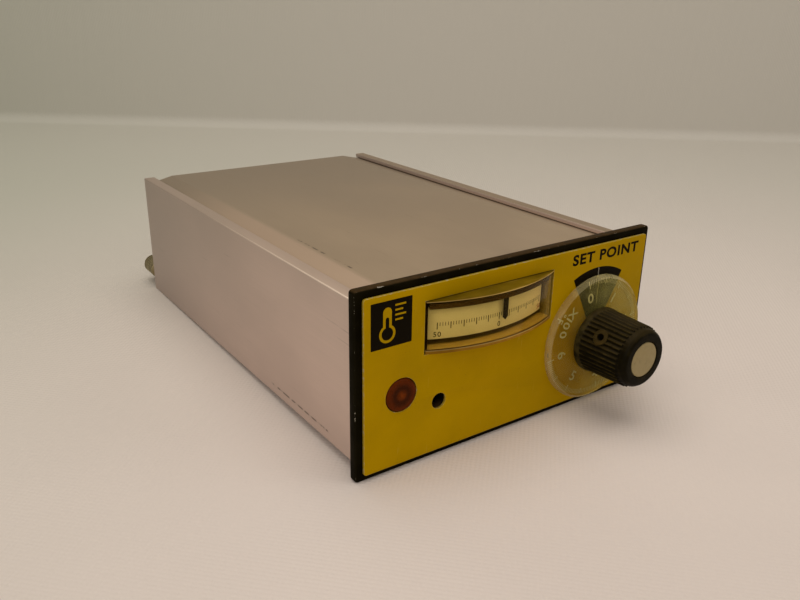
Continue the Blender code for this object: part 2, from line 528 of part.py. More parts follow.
def build_rear():
    side = REAR_REBATE - 0.4
    under = COVER_TOP_DROP + COVER_SHEET + 0.35
    edge = CASE_TOP - LEDGE_DROP
    half = [(COVER_CREASE, CASE_TOP - under), (COVER_FOLD, edge), (side, edge)]
    upper = [(-x, z) for x, z in half[::-1]] + half
    outline = upper + [(x, mirror_z(z)) for x, z in upper[::-1]]
    places = case_screw_places()
    ears = [(-EAR_X, BLOCK_MIDDLE), (EAR_X, BLOCK_MIDDLE)]
    holes = [circle(centre, SCREW_HOLE, 20) for centre in places + ears]
    prism("rear_panel", [outline] + holes, REAR_FRONT, CASE_DEPTH, "cover_grey")

    back = CASE_DEPTH + GAP
    for number, centre in enumerate((places[1], places[3]), 1):
        pan_screw(f"rear_screw_{number}", centre, REAR_SCREW_TIP, back)
    tip, neck, end = REAR_SCREW_TIP, back + THUMB_NECK_LENGTH, CASE_DEPTH + THUMBSCREW_REACH
    for number, centre in enumerate((places[0], places[2]), 1):
        turned(f"rear_thumbscrew_{number}", centre, [
            (0, tip), (SCREW_RADIUS, tip), (SCREW_RADIUS, back), (THUMB_NECK, back), (THUMB_NECK, neck),
            (THUMB_RADIUS, neck + 0.8), (THUMB_RADIUS, end - 1.4), (THUMB_RADIUS - 1.3, end), (0, end)],
            "aluminium", steps=32)


def build_terminals():
    back = CASE_DEPTH + GAP
    base, tip = back + BLOCK_BASE, back + BLOCK_BARRIER
    reach, beyond = EAR_X + BLOCK_END, back + BLOCK_BASE + OVERSHOOT
    comb = [(-reach, back), (-reach, base)]
    for i in range(TERMINALS + 1):
        x = (i - TERMINALS / 2) * TERMINAL_PITCH
        left, right = x - BARRIER / 2, x + BARRIER / 2
        comb += [(left, base), (left, tip), (right, tip), (right, base)]
    comb += [(reach, base), (reach, back)]
    block = prism("terminal_block", [comb[::-1]], BLOCK_BOTTOM, BLOCK_TOP, "brown_phenolic", upright=True)
    for number, x in enumerate((-EAR_X, EAR_X), 1):
        centre = (x, BLOCK_MIDDLE)
        drill(block, f"ear_{number}", centre, SCREW_HOLE, back - OVERSHOOT, beyond, 20)
        pan_screw(f"terminal_block_screw_{number}", centre, BLOCK_SCREW_TIP, base + GAP)
    floor = back + TERMINAL_FLOOR
    for number in range(1, TERMINALS + 1):
        centre = ((number - (TERMINALS + 1) / 2) * TERMINAL_PITCH, BLOCK_MIDDLE + TERMINAL_RAISE)
        drill(block, f"terminal_{number}", centre, SCREW_HOLE, floor, beyond, 16)
        pan_screw(f"terminal_screw_{number}", centre, floor + 0.4, base + GAP, "brass", TERMINAL_HEAD,
                  TERMINAL_HEAD_THICK)


# ---- inside -------------------------------------------------------------------------------------
def build_boards():
    box("main_board", (-BOARD_SIDE, BOARD_FRONT, BOARD_BOTTOM), (BOARD_SIDE, BOARD_BACK, BOARD_TOP),
        "board_green")
    box("front_board", (FRONT_BOARD_LEFT, FRONT_BOARD_DEPTH, ON_BOARD),
        (FRONT_BOARD_RIGHT, FRONT_BOARD_DEPTH + BOARD_THICK, FRONT_BOARD_TOP), "board_green")
    floor = CASE_BOTTOM + COVER_TOP_DROP + COVER_SHEET + GAP
    number = 0
    for x in (-STANDOFF_X, STANDOFF_X):
        for depth in (STANDOFF_FRONT, STANDOFF_BACK):
            number += 1
            pillar = cylinder(STANDOFF_RADIUS, BOARD_BOTTOM - GAP, floor)
            turned(f"board_standoff_{number}", (x, depth), pillar, "brass", upright=True, steps=16)


def build_power_supply():
    low, high, leg = ON_BOARD, ON_BOARD + CORE_HEIGHT, CORE_LEG
    left, right = CORE_LEFT + leg, CORE_RIGHT - leg
    holes = [rectangle((left, low + leg), (left + CORE_WINDOW, high - leg)),
             rectangle((right - CORE_WINDOW, low + leg), (right, high - leg))]
    outline = rectangle((CORE_LEFT, low), (CORE_RIGHT, high))
    prism("transformer_core", [outline] + holes, CORE_FRONT, CORE_BACK, "core_steel")
    slack = WINDING_SLACK
    ring = rectangle((left + slack, CORE_FRONT - WINDING_OUT), (right - slack, CORE_BACK + WINDING_OUT))
    hole = rectangle((left + CORE_WINDOW - slack, CORE_FRONT - slack),
                     (right - CORE_WINDOW + slack, CORE_BACK + slack))
    prism("transformer_winding", [ring, hole], low + leg + slack, high - leg - slack, "copper", upright=True)
    top, radius, edge = low + CAPACITOR_HEIGHT, CAPACITOR_RADIUS, CAPACITOR_EDGE
    turned("filter_capacitor", (CAPACITOR_X, CAPACITOR_DEPTH), [
        (0, top), (radius - edge, top), (radius, top - edge), (radius, low), (0, low)], "aluminium",
        upright=True, steps=24)


def build_relay():
    left, low, top, thick = RELAY_HINGE, ON_BOARD, ON_BOARD + RELAY_HEIGHT, RELAY_STEEL
    right = left + RELAY_FOOT
    outline = [(left, low), (right, low), (right, low + thick), (left + thick, low + thick),
               (left + thick, top), (left, top)]
    prism("relay_frame", [outline], RELAY_FRONT, RELAY_BACK, "core_steel")
    middle = (RELAY_FRONT + RELAY_BACK) / 2
    pole = top - POLE_GAP
    cheek = pole - RELAY_POLE_HEIGHT
    turned("relay_coil", (left + RELAY_COIL_X, middle), [
        (0, pole), (RELAY_POLE_RADIUS, pole), (RELAY_POLE_RADIUS, cheek), (RELAY_COIL_RADIUS, cheek),
        (RELAY_COIL_RADIUS, low + thick + GAP), (0, low + thick + GAP)], "copper", upright=True, steps=24)
    rest = top + GAP
    armature = box("relay_armature", (left, RELAY_FRONT + 1, rest),
                   (left + ARMATURE_LENGTH, RELAY_BACK - 1, rest + ARMATURE_THICK), "core_steel")
    group("armature_axis", place(left, middle, rest), [armature])


def clear_scene():
    for obj in list(bpy.data.objects):
        bpy.data.objects.remove(obj, do_unlink=True)


def make_collection(name):
    collection = bpy.data.collections.new(name)
    bpy.context.scene.collection.children.link(collection)
    return collection


def make_material(name, colour, roughness, metallic):
    material = bpy.data.materials.new(name)
    material.use_nodes = True
    shader = material.node_tree.nodes["Principled BSDF"]
    shader.inputs["Base Color"].default_value = (*colour, 1)
    shader.inputs["Roughness"].default_value = roughness
    shader.inputs["Metallic"].default_value = metallic
    return material


clear_scene()
PARTS = make_collection("temperature_controller")
CUTTERS = make_collection("cutters")
MATERIALS = {name: make_material(name, *look) for name, look in FINISHES.items()}

build_bezel()
build_front_plate()
build_lamp()
build_trimmer()
build_setpoint()
build_meter_case()
build_meter_movement()
build_side_panels()
build_cover("top_cover", upper=True)
build_cover("bottom_cover", upper=False)
build_rear()
build_terminals()
build_boards()
build_power_supply()
build_relay()
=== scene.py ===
"""Looks of the panel-mounting temperature controller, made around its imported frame.

Lengths are in millimetres and become metres in at(). A place is (x, depth, z): x runs to the right as
the front is seen, depth runs back from the bezel's front face, and z runs up from its lower edge.
"""

import json
import math

import bmesh
import bpy
from mathutils import Matrix, Vector


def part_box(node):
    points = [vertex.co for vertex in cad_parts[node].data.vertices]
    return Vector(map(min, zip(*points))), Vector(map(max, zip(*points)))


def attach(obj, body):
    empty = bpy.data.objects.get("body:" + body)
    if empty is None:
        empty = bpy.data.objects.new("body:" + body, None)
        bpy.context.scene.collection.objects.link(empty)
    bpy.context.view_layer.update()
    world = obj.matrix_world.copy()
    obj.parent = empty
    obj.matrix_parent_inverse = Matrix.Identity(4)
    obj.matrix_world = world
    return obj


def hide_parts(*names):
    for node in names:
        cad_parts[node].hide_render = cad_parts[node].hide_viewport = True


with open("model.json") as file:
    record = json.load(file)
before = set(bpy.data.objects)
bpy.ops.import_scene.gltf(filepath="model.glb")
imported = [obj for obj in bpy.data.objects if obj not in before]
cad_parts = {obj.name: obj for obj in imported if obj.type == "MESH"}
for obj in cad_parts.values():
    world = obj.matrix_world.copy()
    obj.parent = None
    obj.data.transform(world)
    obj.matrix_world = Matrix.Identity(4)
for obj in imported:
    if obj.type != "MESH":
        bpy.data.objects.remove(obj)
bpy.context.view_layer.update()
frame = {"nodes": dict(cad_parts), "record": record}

MM = 0.001
TAU = 2 * math.pi
FRONT_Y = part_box("bezel_frame")[0].y
RECORD = frame["record"]
SLOT_OF = {part["node"]: part["material_slot"] for part in RECORD["subparts"]}
BODY_OF = {node: body for body, nodes in RECORD["behaviour"]["bodies"].items() for node in nodes}
BLOCK_FACES = ((0, 1, 2, 3), (4, 5, 6, 7), (0, 1, 5, 4), (1, 2, 6, 5), (2, 3, 7, 6), (3, 0, 4, 7))


# ---- places from the frame ----
def at(x, depth, z):
    """World position in metres of a place in millimetres."""
    return Vector((x * MM, FRONT_Y + depth * MM, z * MM))


def corners(node):
    """A CAD node's lowest and highest corners as places."""
    return [Vector((p.x / MM, (p.y - FRONT_Y) / MM, p.z / MM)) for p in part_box(node)]


def middle(node):
    low, high = corners(node)
    return (low + high) / 2


BEZEL_LOW, BEZEL_HIGH = corners("bezel_frame")
PLATE_LOW, PLATE_HIGH = corners("front_plate")
CASE_LEFT_LOW, CASE_LEFT_HIGH = corners("side_panel_left")
CASE_TOP, CASE_BOTTOM = CASE_LEFT_HIGH.z, CASE_LEFT_LOW.z
CASE_FRONT, CASE_BACK = CASE_LEFT_LOW.y, CASE_LEFT_HIGH.y
CASE_SIDE = -CASE_LEFT_LOW.x
WINDOW_LOW, WINDOW_HIGH = corners("meter_window")
DIAL = middle("dial_disc")
LAMP = middle("lamp_lens")
TRIM = middle("trimmer_screw")
PIVOT_X, PIVOT_DEPTH = (WINDOW_LOW.x + WINDOW_HIGH.x) / 2, 61.0
SCALE_RADIUS = PIVOT_DEPTH - corners("meter_scale")[0].y
KNOB_FRONT = corners("setpoint_knob")[0].y
INK = 0.03                 # how far printed marks stand out


# ---- mesh tools ----
def arc(centre, radius, start, end, count):
    """Points on an arc. Degrees run clockwise from the second axis."""
    angles = [math.radians(start + (end - start) * i / count) for i in range(count + 1)]
    return [(centre[0] + radius * math.sin(a), centre[1] + radius * math.cos(a)) for a in angles]


def circle(centre, radius, count=48):
    return arc(centre, radius, 0, 360, count)[:-1]


def rectangle(low, high):
    return [(low[0], low[1]), (high[0], low[1]), (high[0], high[1]), (low[0], high[1])]


def fillet(points, radius, count=4, closed=True):
    """The outline with its corners rounded. One radius serves all corners, or there is one for each."""
    radii = radius if isinstance(radius, (list, tuple)) else [radius] * len(points)
    result = []
    for i, (point, size) in enumerate(zip(points, radii)):
        here = Vector(point)
        ends = not closed and i in (0, len(points) - 1)
        before = Vector(points[i - 1]) - here
        after = Vector(points[(i + 1) % len(points)]) - here
        half = (math.pi - before.angle(after, math.pi)) / 2
        if ends or size == 0 or half < 0.02:
            result.append(tuple(here))
            continue
        reach = min(size * math.tan(half), 0.49 * before.length, 0.49 * after.length)
        first, last = here + before.normalized() * reach, here + after.normalized() * reach
        for step in range(count + 1):
            t = step / count
            result.append(tuple(first * (1 - t) ** 2 + here * 2 * t * (1 - t) + last * t ** 2))
    return result


def new_mesh(bm):
    mesh = bpy.data.meshes.new("mesh")
    bm.to_mesh(mesh)
    bm.free()
    return mesh


def placed(name, data):
    """A new object in the scene."""
    obj = bpy.data.objects.new(name, data)
    bpy.context.scene.collection.objects.link(obj)
    return obj


def evaluated_bmesh(obj):
    """The object's final mesh, and the object is removed."""
    graph = bpy.context.evaluated_depsgraph_get()
    mesh = bpy.data.meshes.new_from_object(obj.evaluated_get(graph))
    bpy.data.objects.remove(obj)
    bm = bmesh.new()
    bm.from_mesh(mesh)
    bpy.data.meshes.remove(mesh)
    return bm


def closed(bm):
    bmesh.ops.remove_doubles(bm, verts=bm.verts, dist=1e-7)
    bmesh.ops.recalc_face_normals(bm, faces=bm.faces)
    return bm


def slab(outlines, low, high, edge=0.0, upright=False, origin=(0, 0), rounds=2):
    """Outlines (the first outside, the rest holes) pushed from low to high, with rounded rims. They are
    (x, z) outlines along the depth, or (x, depth) outlines along z."""
    curve = bpy.data.curves.new("outline", "CURVE")
    curve.dimensions = "2D"
    curve.fill_mode = "BOTH"
    curve.extrude = (high - low) / 2 - edge
    curve.bevel_depth = edge
    curve.bevel_resolution = rounds
    curve.offset = -edge
    for outline in outlines:
        spline = curve.splines.new("POLY")
        spline.points.add(len(outline) - 1)
        for point, place in zip(spline.points, outline):
            point.co = (*place, 0, 1)
        spline.use_cyclic_u = True
    bm = evaluated_bmesh(placed("temporary", curve))
    bmesh.ops.remove_doubles(bm, verts=bm.verts, dist=1e-4)
    centre = (low + high) / 2
    for v in bm.verts:
        across, along, out = v.co
        if upright:
            v.co = at(origin[0] + across, origin[1] + along, centre + out)
        else:
            v.co = at(origin[0] + across, centre + out, origin[1] + along)
    return closed(bm)


DEPTHWISE = (Vector((1, 0, 0)), Vector((0, 0, 1)), Vector((0, 1, 0)))


def lathe(profile, centre, axes=DEPTHWISE, steps=64, shape=None):
    """Surface turned from (radius, height) points about an axis through a place. axes are the direction
    that angles start from at 90 degrees, the one at 0 degrees, and the axis. shape may change a
    radius by its angle and height."""
    bm = bmesh.new()
    right, up, along = axes
    start = at(*centre)
    rings = []
    for radius, height in profile:
        ring = []
        for i in range(1 if radius == 0 else steps):
            angle = TAU * i / steps
            reach = shape(radius, angle, height) if shape and radius else radius
            spot = right * reach * math.sin(angle) + up * reach * math.cos(angle) + along * height
            ring.append(bm.verts.new(start + spot * MM))
        rings.append(ring)
    for near, far in zip(rings, rings[1:]):
        for i in range(steps):
            j = i + 1
            loop = [near[i % len(near)], near[j % len(near)], far[j % len(far)], far[i % len(far)]]
            loop = list(dict.fromkeys(loop))
            if len(loop) > 2:
                bm.faces.new(loop)
    return closed(bm)


def turned(profile, place, steps=48, shape=None):
    """Lathe work along the depth, through a place."""
    return lathe(profile, (place.x, 0, place.z), steps=steps, shape=shape)


def hole(place, radius, count=48):
    """Round hole through a place, seen from the front."""
    return circle((place.x, place.z), radius, count)


def block(low, high):
    """Box between two places."""
    bm = bmesh.new()
    size = Vector(high) - Vector(low)
    bmesh.ops.create_cube(bm, size=1.0)
    bmesh.ops.scale(bm, vec=size * MM, verts=bm.verts)
    bmesh.ops.translate(bm, vec=at(*((Vector(low) + Vector(high)) / 2)), verts=bm.verts)
    return bm


def joined(*parts):
    """Several bmeshes as one."""
    whole = bmesh.new()
    for part in parts:
        whole.from_mesh(new_mesh(part))
    return whole


def boolean(bm, other, operation="DIFFERENCE"):
    obj, tool = placed("temporary", new_mesh(bm)), placed("temporary", new_mesh(other))
    modifier = obj.modifiers.new("Boolean", "BOOLEAN")
    modifier.operation = operation
    modifier.solver = "EXACT"
    modifier.use_self = operation == "DIFFERENCE"
    modifier.object = tool
    result = evaluated_bmesh(obj)
    bpy.data.objects.remove(tool)
    return closed(result)


def bar(bm, where, low, high, thick=INK):
    """Thin block between two corners in a mark's own (u, v), pushed out towards the reader."""
    outline = rectangle(low, high)
    verts = [bm.verts.new(where(u, v, out)) for out in (0, thick) for u, v in outline]
    for face in BLOCK_FACES:
        bm.faces.new([verts[i] for i in face])


def letters(bm, where, text, size, thick=INK, bold=0.0, narrow=1.0, spacing=1.0):
    """Solid figures about the middle of a mark's own (u, v)."""
    curve = bpy.data.curves.new("letters", "FONT")
    curve.body = text
    curve.size = size
    curve.offset = bold
    curve.resolution_u = 4
    curve.space_character = spacing
    curve.align_x, curve.align_y = "CENTER", "CENTER"
    curve.extrude = thick / 2
    part = evaluated_bmesh(placed("temporary", curve))
    bmesh.ops.remove_doubles(part, verts=part.verts, dist=1e-5)
    for v in part.verts:
        v.co = where(v.co.x * narrow, v.co.y, v.co.z + thick / 2)
    bm.from_mesh(new_mesh(part))


def show(name, bm, looks, body, slot, sharp=32):
    """Object from a bmesh, with its materials, riding on a body. looks is one material or several."""
    mesh = new_mesh(closed(bm))
    mesh.name = name
    for look in looks if isinstance(looks, (list, tuple)) else [looks]:
        mesh.materials.append(look)
    mesh.shade_smooth()
    mesh.set_sharp_from_angle(angle=math.radians(sharp))
    obj = placed(name, mesh)
    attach(obj, body)
    return obj


def refine(node, bm, looks, sharp=32):
    """A finer mesh in place of a CAD node."""
    obj = show(node + "_fine", bm, looks, BODY_OF[node], SLOT_OF[node], sharp)
    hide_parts(node)
    return obj


def number_faces(bm, choose):
    """Sets each face's material by what choose says of the face's middle and normal."""
    bm.normal_update()
    for face in bm.faces:
        centre = face.calc_center_median()
        place = Vector((centre.x / MM, (centre.y - FRONT_Y) / MM, centre.z / MM))
        face.material_index = choose(place, face.normal)
    return bm


# ---- materials ----
def shaded(colour, factor, lift=0.0):
    return tuple(min(1, factor * c + lift) for c in colour)


class Look:
    """A Principled material and short ways to add the nodes that give it detail."""

    def __init__(self, name, colour, roughness, metallic=0.0, **sockets):
        self.material = bpy.data.materials.new(name)
        self.material.use_nodes = True
        self.tree = self.material.node_tree
        self.shader = self.tree.nodes["Principled BSDF"]
        self.tone = colour
        self.raised = None
        self.feed("Base Color", (*colour, 1))
        self.feed("Roughness", roughness)
        self.feed("Metallic", metallic)
        for socket, value in sockets.items():
            self.feed(socket.replace("_", " "), value)

    def put(self, socket, value):
        if isinstance(value, bpy.types.NodeSocket):
            self.tree.links.new(value, socket)
        else:
            socket.default_value = value

    def feed(self, socket, value):
        self.put(self.shader.inputs[socket], value)

    def add(self, kind, inputs, **settings):
        node = self.tree.nodes.new("ShaderNode" + kind)
        for key, value in settings.items():
            setattr(node, key, value)
        for key, value in inputs.items():
            self.put(node.inputs[key], value)
        return node

    def position(self, stretch=(1, 1, 1), shift=(0, 0, 0)):
        coordinate = self.add("TexCoord", {}).outputs["Object"]
        return self.add("Mapping", {"Vector": coordinate, "Scale": stretch, "Location": shift}).outputs[0]

    def axis(self, which):
        """One coordinate as x, depth or z in millimetres."""
        parts = self.add("SeparateXYZ", {0: self.position()})
        shift = FRONT_Y if which == 1 else 0
        return self.calc("DIVIDE", self.minus(parts.outputs[which], shift), MM)

    def calc(self, operation, a, b=0.0):
        return self.add("Math", {0: a, 1: b}, operation=operation).outputs[0]

    def times(self, a, b):
        return self.calc("MULTIPLY", a, b)

    def minus(self, a, b):
        return self.calc("SUBTRACT", a, b)

    def waves(self, value, pitch):
        return self.calc("SINE", self.times(value, TAU / pitch))

    def noise(self, size, detail=4, stretch=(1, 1, 1), shift=(0, 0, 0)):
        """Noise about 0.5 whose blobs are about size millimetres across."""
        node = self.add("TexNoise", {"Vector": self.position(stretch, shift), "Scale": 1 / (size * MM),
                                     "Detail": detail, "Roughness": 0.55})
        return node.outputs[0]

    def step(self, value, low, high, start=0.0, end=1.0):
        """Runs smoothly from start, where value is low, to end, where it is high."""
        node = self.add("MapRange", {"Value": value, "From Min": low, "From Max": high, "To Min": start,
                                     "To Max": end}, interpolation_type="SMOOTHSTEP")
        return node.outputs[0]

    def patch(self, size, detail=4, low=0.3, high=0.7, start=0.0, end=1.0, **place):
        """Blobs: noise that runs from start, where it is low, to end, where it is high."""
        return self.step(self.noise(size, detail, **place), low, high, start, end)

    def upward(self):
        """1 where the surface faces up, 0 where it faces sideways or down."""
        normal = self.add("NewGeometry", {}).outputs["Normal"]
        return self.step(self.add("SeparateXYZ", {0: normal}).outputs[2], 0.35, 0.95)

    def radius(self, centre, across=0, along=2):
        """Millimetres from an axis through a place, measured along two of the three directions."""
        gaps = [self.minus(self.axis(which), centre[which]) for which in (across, along)]
        return self.calc("SQRT", self.calc("ADD", *[self.times(gap, gap) for gap in gaps]))

    def edge_gap(self, low, high):
        """Millimetres from the nearest edge, on the surface of a box between two places."""
        gaps = []
        for which in range(3):
            here = self.axis(which)
            gaps.append(self.calc("MINIMUM", self.minus(here, low[which]), self.minus(high[which], here)))
        first, second, third = gaps
        outer = self.calc("MAXIMUM", first, second)
        return self.calc("MAXIMUM", self.calc("MINIMUM", first, second), self.calc("MINIMUM", outer, third))

    def blend(self, factor, first, second):
        colours = [(*c, 1) if isinstance(c, tuple) else c for c in (first, second)]
        node = self.add("Mix", {}, data_type="RGBA")
        for socket, value in zip([node.inputs[0], node.inputs[6], node.inputs[7]], [factor, *colours]):
            self.put(socket, value)
        return node.outputs[2]

    def cover(self, mask, colour):
        """Lays a colour over the base colour so far, where mask is 1."""
        self.tone = self.blend(mask, self.tone, colour)
        self.feed("Base Color", self.tone)

    def rubbed_line(self, low, high, cross, place, breaks, colour):
        """Dark broken line between two depths, near a place on another axis."""
        width, fade = 0.6, 4
        away = self.calc("ABSOLUTE", self.minus(self.axis(cross), place))
        near = self.step(away, width, 0.2 * width)
        depth = self.axis(1)
        ends = self.times(self.step(depth, low, low + fade), self.step(depth, high, high - fade))
        self.cover(self.times(self.times(near, ends), breaks), colour)

    def gloss(self, size, least, most):
        """Roughness that varies in blobs between two values."""
        self.feed("Roughness", self.patch(size, start=least, end=most))

    def relief(self, height, depth):
        """Raises the surface by up to depth millimetres, on top of any relief so far."""
        inputs = {"Height": height, "Strength": 1.0, "Distance": depth * MM}
        if self.raised:
            inputs["Normal"] = self.raised
        self.raised = self.add("Bump", inputs).outputs[0]
        self.feed("Normal", self.raised)

    def grain(self, size, detail, depth):
        self.relief(self.noise(size, detail), depth)

    def let_light_through(self, tint):
        """Shadow rays pass the material, only tinted, so that what lies behind it is lit."""
        shadow = self.add("LightPath", {}).outputs["Is Shadow Ray"]
        through = self.add("BsdfTransparent", {0: (*tint, 1)}).outputs[0]
        mix = self.add("MixShader", {0: shadow, 1: self.shader.outputs[0], 2: through})
        self.put(self.tree.nodes["Material Output"].inputs["Surface"], mix.outputs[0])


def bezel_enamel():
    """Enamel with a fine orange peel, a painted brown sheen of the light above on its up-facing faces, and
    edges chipped to bright metal.
    """
    black = (0.0045, 0.0033, 0.0005)
    look = Look("bezel_enamel", black, 0.45, Specular_IOR_Level=0.015)
    peel = look.noise(0.35, 2)
    gap = look.edge_gap(BEZEL_LOW, BEZEL_HIGH)
    reach = look.times(look.patch(6, 5, 0.46, 0.66), 0.4)
    chip = look.step(look.minus(gap, look.times(reach, look.step(peel, 0.3, 0.7))), 0.12, 0.02)
    # painted sheen: the light above reflecting in the up-facing faces, laid on as a brown colour
    top_sheen = look.times(look.upward(), look.patch(3, 5, 0.2, 0.8, 0.45, 1.0))
    look.cover(look.patch(9, 4, 0.35, 0.75), shaded(black, 1.6, 0.001))
    look.cover(look.step(gap, 0.9, 0.0, 0.0, 0.3), shaded(black, 2.2, 0.006))
    # painted sheen of the light above on the up-facing faces
    look.cover(top_sheen, (0.062, 0.036, 0.014))
    look.cover(chip, (0.5, 0.46, 0.38))
    look.feed("Metallic", look.times(chip, 0.6))
    look.gloss(3, 0.38, 0.55)
    look.relief(chip, -0.04)
    look.relief(peel, 0.012)
    return look.material


def plate_yellow():
    look = Look("plate_yellow", (0.47, 0.278, 0.0), 0.42, Specular_IOR_Level=0.015)
    look.cover(look.patch(22, 3), (0.415, 0.25, 0.0))
    look.cover(look.patch(0.7, 2, 0.7, 0.78, 0.0, 0.55), (0.16, 0.08, 0.006))
    look.cover(look.patch(1.2, 5, 0.62, 0.8, 0.0, 0.25, stretch=(1, 1, 0.12)), (0.62, 0.42, 0.08))
    look.gloss(5, 0.34, 0.5)
    look.grain(0.5, 3, 0.008)
    return look.material


def cut_edge():
    """Bare edge of the yellow plate, with some of its paint left."""
    look = Look("plate_cut_edge", (0.5, 0.34, 0.03), 0.4, 0.3, Specular_IOR_Level=0.2)
    look.cover(look.patch(1.5, 4, 0.5, 0.68), (0.5, 0.42, 0.26))
    look.gloss(0.6, 0.25, 0.5)
    return look.material


def ink(name, colour, thin):
    """Screen-printed ink, worn thin in places."""
    look = Look(name, colour, 0.5, Specular_IOR_Level=0.04)
    look.cover(look.patch(1.6, 5, 0.55, 0.8), shaded(colour, 1 - thin, 0.25 * thin))
    look.gloss(0.8, 0.4, 0.62)
    return look.material


def anodised(name, colour, seed, metallic):
    """Satin aluminium: fine lines along the case, long scratches and small dents."""
    dark = shaded(colour, 0.9)
    look = Look(name, dark, 0.46, metallic, Specular_IOR_Level=0.3)
    lines = look.noise(0.5, 3, (1, 0.01, 1), (seed, 0, 0))
    clouds = look.noise(40, 3, (1, 0.5, 1), (0, seed, 0))
    scratch = look.patch(1.1, 5, 0.66, 0.74, 0.0, 0.5, stretch=(1, 0.035, 1), shift=(seed, seed, 0))
    dents = look.patch(1.5, 2, 0.74, 0.84, shift=(0, 0, seed))
    look.cover(look.step(clouds, 0.3, 0.7), shaded(colour, 1.04))
    look.cover(look.step(lines, 0.3, 0.7, 0.0, 0.3), dark)
    look.cover(scratch, shaded(colour, 0.62))
    look.cover(dents, shaded(colour, 0.4))
    look.feed("Roughness", look.step(clouds, 0.2, 0.8, 0.43, 0.5))
    look.relief(dents, -0.05)
    look.relief(lines, 0.006)
    return look


def side_metal(name, seed, mark_z, dust):
    """Satin extrusion, dusty on top, with painted shade darkening it towards the back, a rubbed line and a
    painted highlight along its outer top edge.
    """
    look = anodised(name, (0.67, 0.525, 0.45), seed, 0.5)
    look.rubbed_line(21, 72, 2, mark_z, look.patch(4, 3, 0.38, 0.55, 0.0, 0.85), (0.12, 0.09, 0.07))
    # painted shade: darker towards the back, where less light falls
    look.cover(look.step(look.axis(1), 10, CASE_BACK, 0.0, 0.5), (0.38, 0.32, 0.28))
    look.cover(look.times(look.upward(), dust), (0.34, 0.255, 0.175))
    # painted highlight along the outer top edge, fading towards the back
    above = look.step(look.axis(2), CASE_TOP - 0.55, CASE_TOP - 0.3)
    outside = look.step(look.calc("ABSOLUTE", look.axis(0)), CASE_SIDE - 0.55, CASE_SIDE - 0.3)
    edge = look.times(look.times(above, outside), look.step(look.axis(1), 170, 20, 0.0, 0.8))
    look.cover(edge, (0.95, 0.8, 0.66))
    return look.material


def cover_metal(name, seed, mark_x, flap=0.0):
    """Coated sheet, with painted shade darkening it towards the back, a worn line beside its fold and a
    painted band of light on its left flap.
    """
    look = anodised(name, (0.395, 0.3, 0.203), seed, 0.3)
    look.rubbed_line(30, 79, 0, mark_x, look.patch(5, 4, 0.44, 0.55, 0.0, 0.95), (0.1, 0.07, 0.045))
    # painted shade: darker towards the back, where less light falls
    look.cover(look.step(look.axis(1), 5, CASE_BACK, 0.0, 0.6), (0.24, 0.19, 0.14))
    # painted band of light along the left flap; flap sets its strength
    pale = look.times(look.step(look.axis(0), -51.5, -55), look.step(look.axis(1), 210, 90, 0.0, flap))
    look.cover(pale, (0.56, 0.4, 0.3))
    return look.material


def cast_finish(name, colour, roughness, metallic=0.0, grain=0.6, **sockets):
    """Plain moulding, plating or metal with a fine grain and uneven gloss."""
    look = Look(name, shaded(colour, 0.82), roughness, metallic, **sockets)
    look.cover(look.patch(6, 4, 0.3, 0.72), shaded(colour, 1.15))
    look.cover(look.patch(0.5, 2, 0.68, 0.8, 0.0, 0.4), shaded(colour, 0.5, 0.02))
    look.gloss(2, max(0.05, roughness - 0.08), roughness + 0.1)
    look.grain(grain, 3, 0.01)
    return look.material


def clear_plastic(name, tint, roughness, **sockets):
    look = Look(name, tint, roughness, Transmission_Weight=1.0, IOR=1.15, **sockets)
    look.feed("Roughness", look.patch(5, 4, 0.35, 0.75, roughness, roughness + 0.07))
    look.let_light_through(shaded(tint, 0.5, 0.5))
    return look.material


def cloudy_disc(name, tint, roughness, least, most):
    """Clear acrylic clouded by handling in blobs, and milkier from least at its left to most at its right as
    a painted glare.
    """
    look = Look(name, tint, roughness, Transmission_Weight=1 - least, IOR=1.1, Specular_IOR_Level=0.08)
    # handling cloud in blobs, raised towards the right as a painted glare
    cloud_and_glare = look.times(look.step(look.axis(0), DIAL.x - 18, DIAL.x + 16, least, most),
                      look.patch(6, start=0.6, end=1.25))
    look.feed("Transmission Weight", look.minus(1.0, cloud_and_glare))
    look.gloss(3, roughness, 2 * roughness)
    look.let_light_through(shaded(tint, 0.5, 0.5))
    return look.material


def window_wall(name, colour, highlight_streak):
    """Wall of the meter's window, painted with the reflections and shade the acrylic shows: darker to the
    left as painted shade, with painted highlight streaks along it.
    """
    look = Look(name, shaded(colour, 0.7), 0.4, Alpha=0.95, Specular_IOR_Level=0.05)
    look.cover(look.patch(12, 3), colour)
    # painted highlight streaks
    look.cover(look.patch(2.5, 3, 0.52, 0.75, 0.0, 0.7, stretch=(0.15, 1, 1)), highlight_streak)
    # painted shade, darker to the left
    look.cover(look.step(look.axis(0), WINDOW_LOW.x, WINDOW_LOW.x + 40, 0.55, 0.0), shaded(colour, 0.35))
    look.gloss(4, 0.3, 0.5)
    look.let_light_through((0.9, 0.85, 0.7))
    return look.material


def window_floor():
    """Floor of the meter's window: a painted shadow of the scale beside the scale, and a tan painted
    reflection of the scale where the front wall meets it.
    """
    # dark base colour: painted shadow of the scale
    look = Look("window_floor", (0.15, 0.11, 0.01), 0.45, Specular_IOR_Level=0.1)
    reach = look.radius((PIVOT_X, PIVOT_DEPTH, 0), 0, 1)
    # painted reflection of the scale, tan, beyond its painted shadow
    look.cover(look.step(reach, SCALE_RADIUS - 2.0, SCALE_RADIUS - 1.0), (0.62, 0.42, 0.1))
    look.cover(look.patch(7, 4, 0.4, 0.7, 0.0, 0.3), (0.3, 0.2, 0.04))
    look.grain(1.5, 3, 0.01)
    return look.material


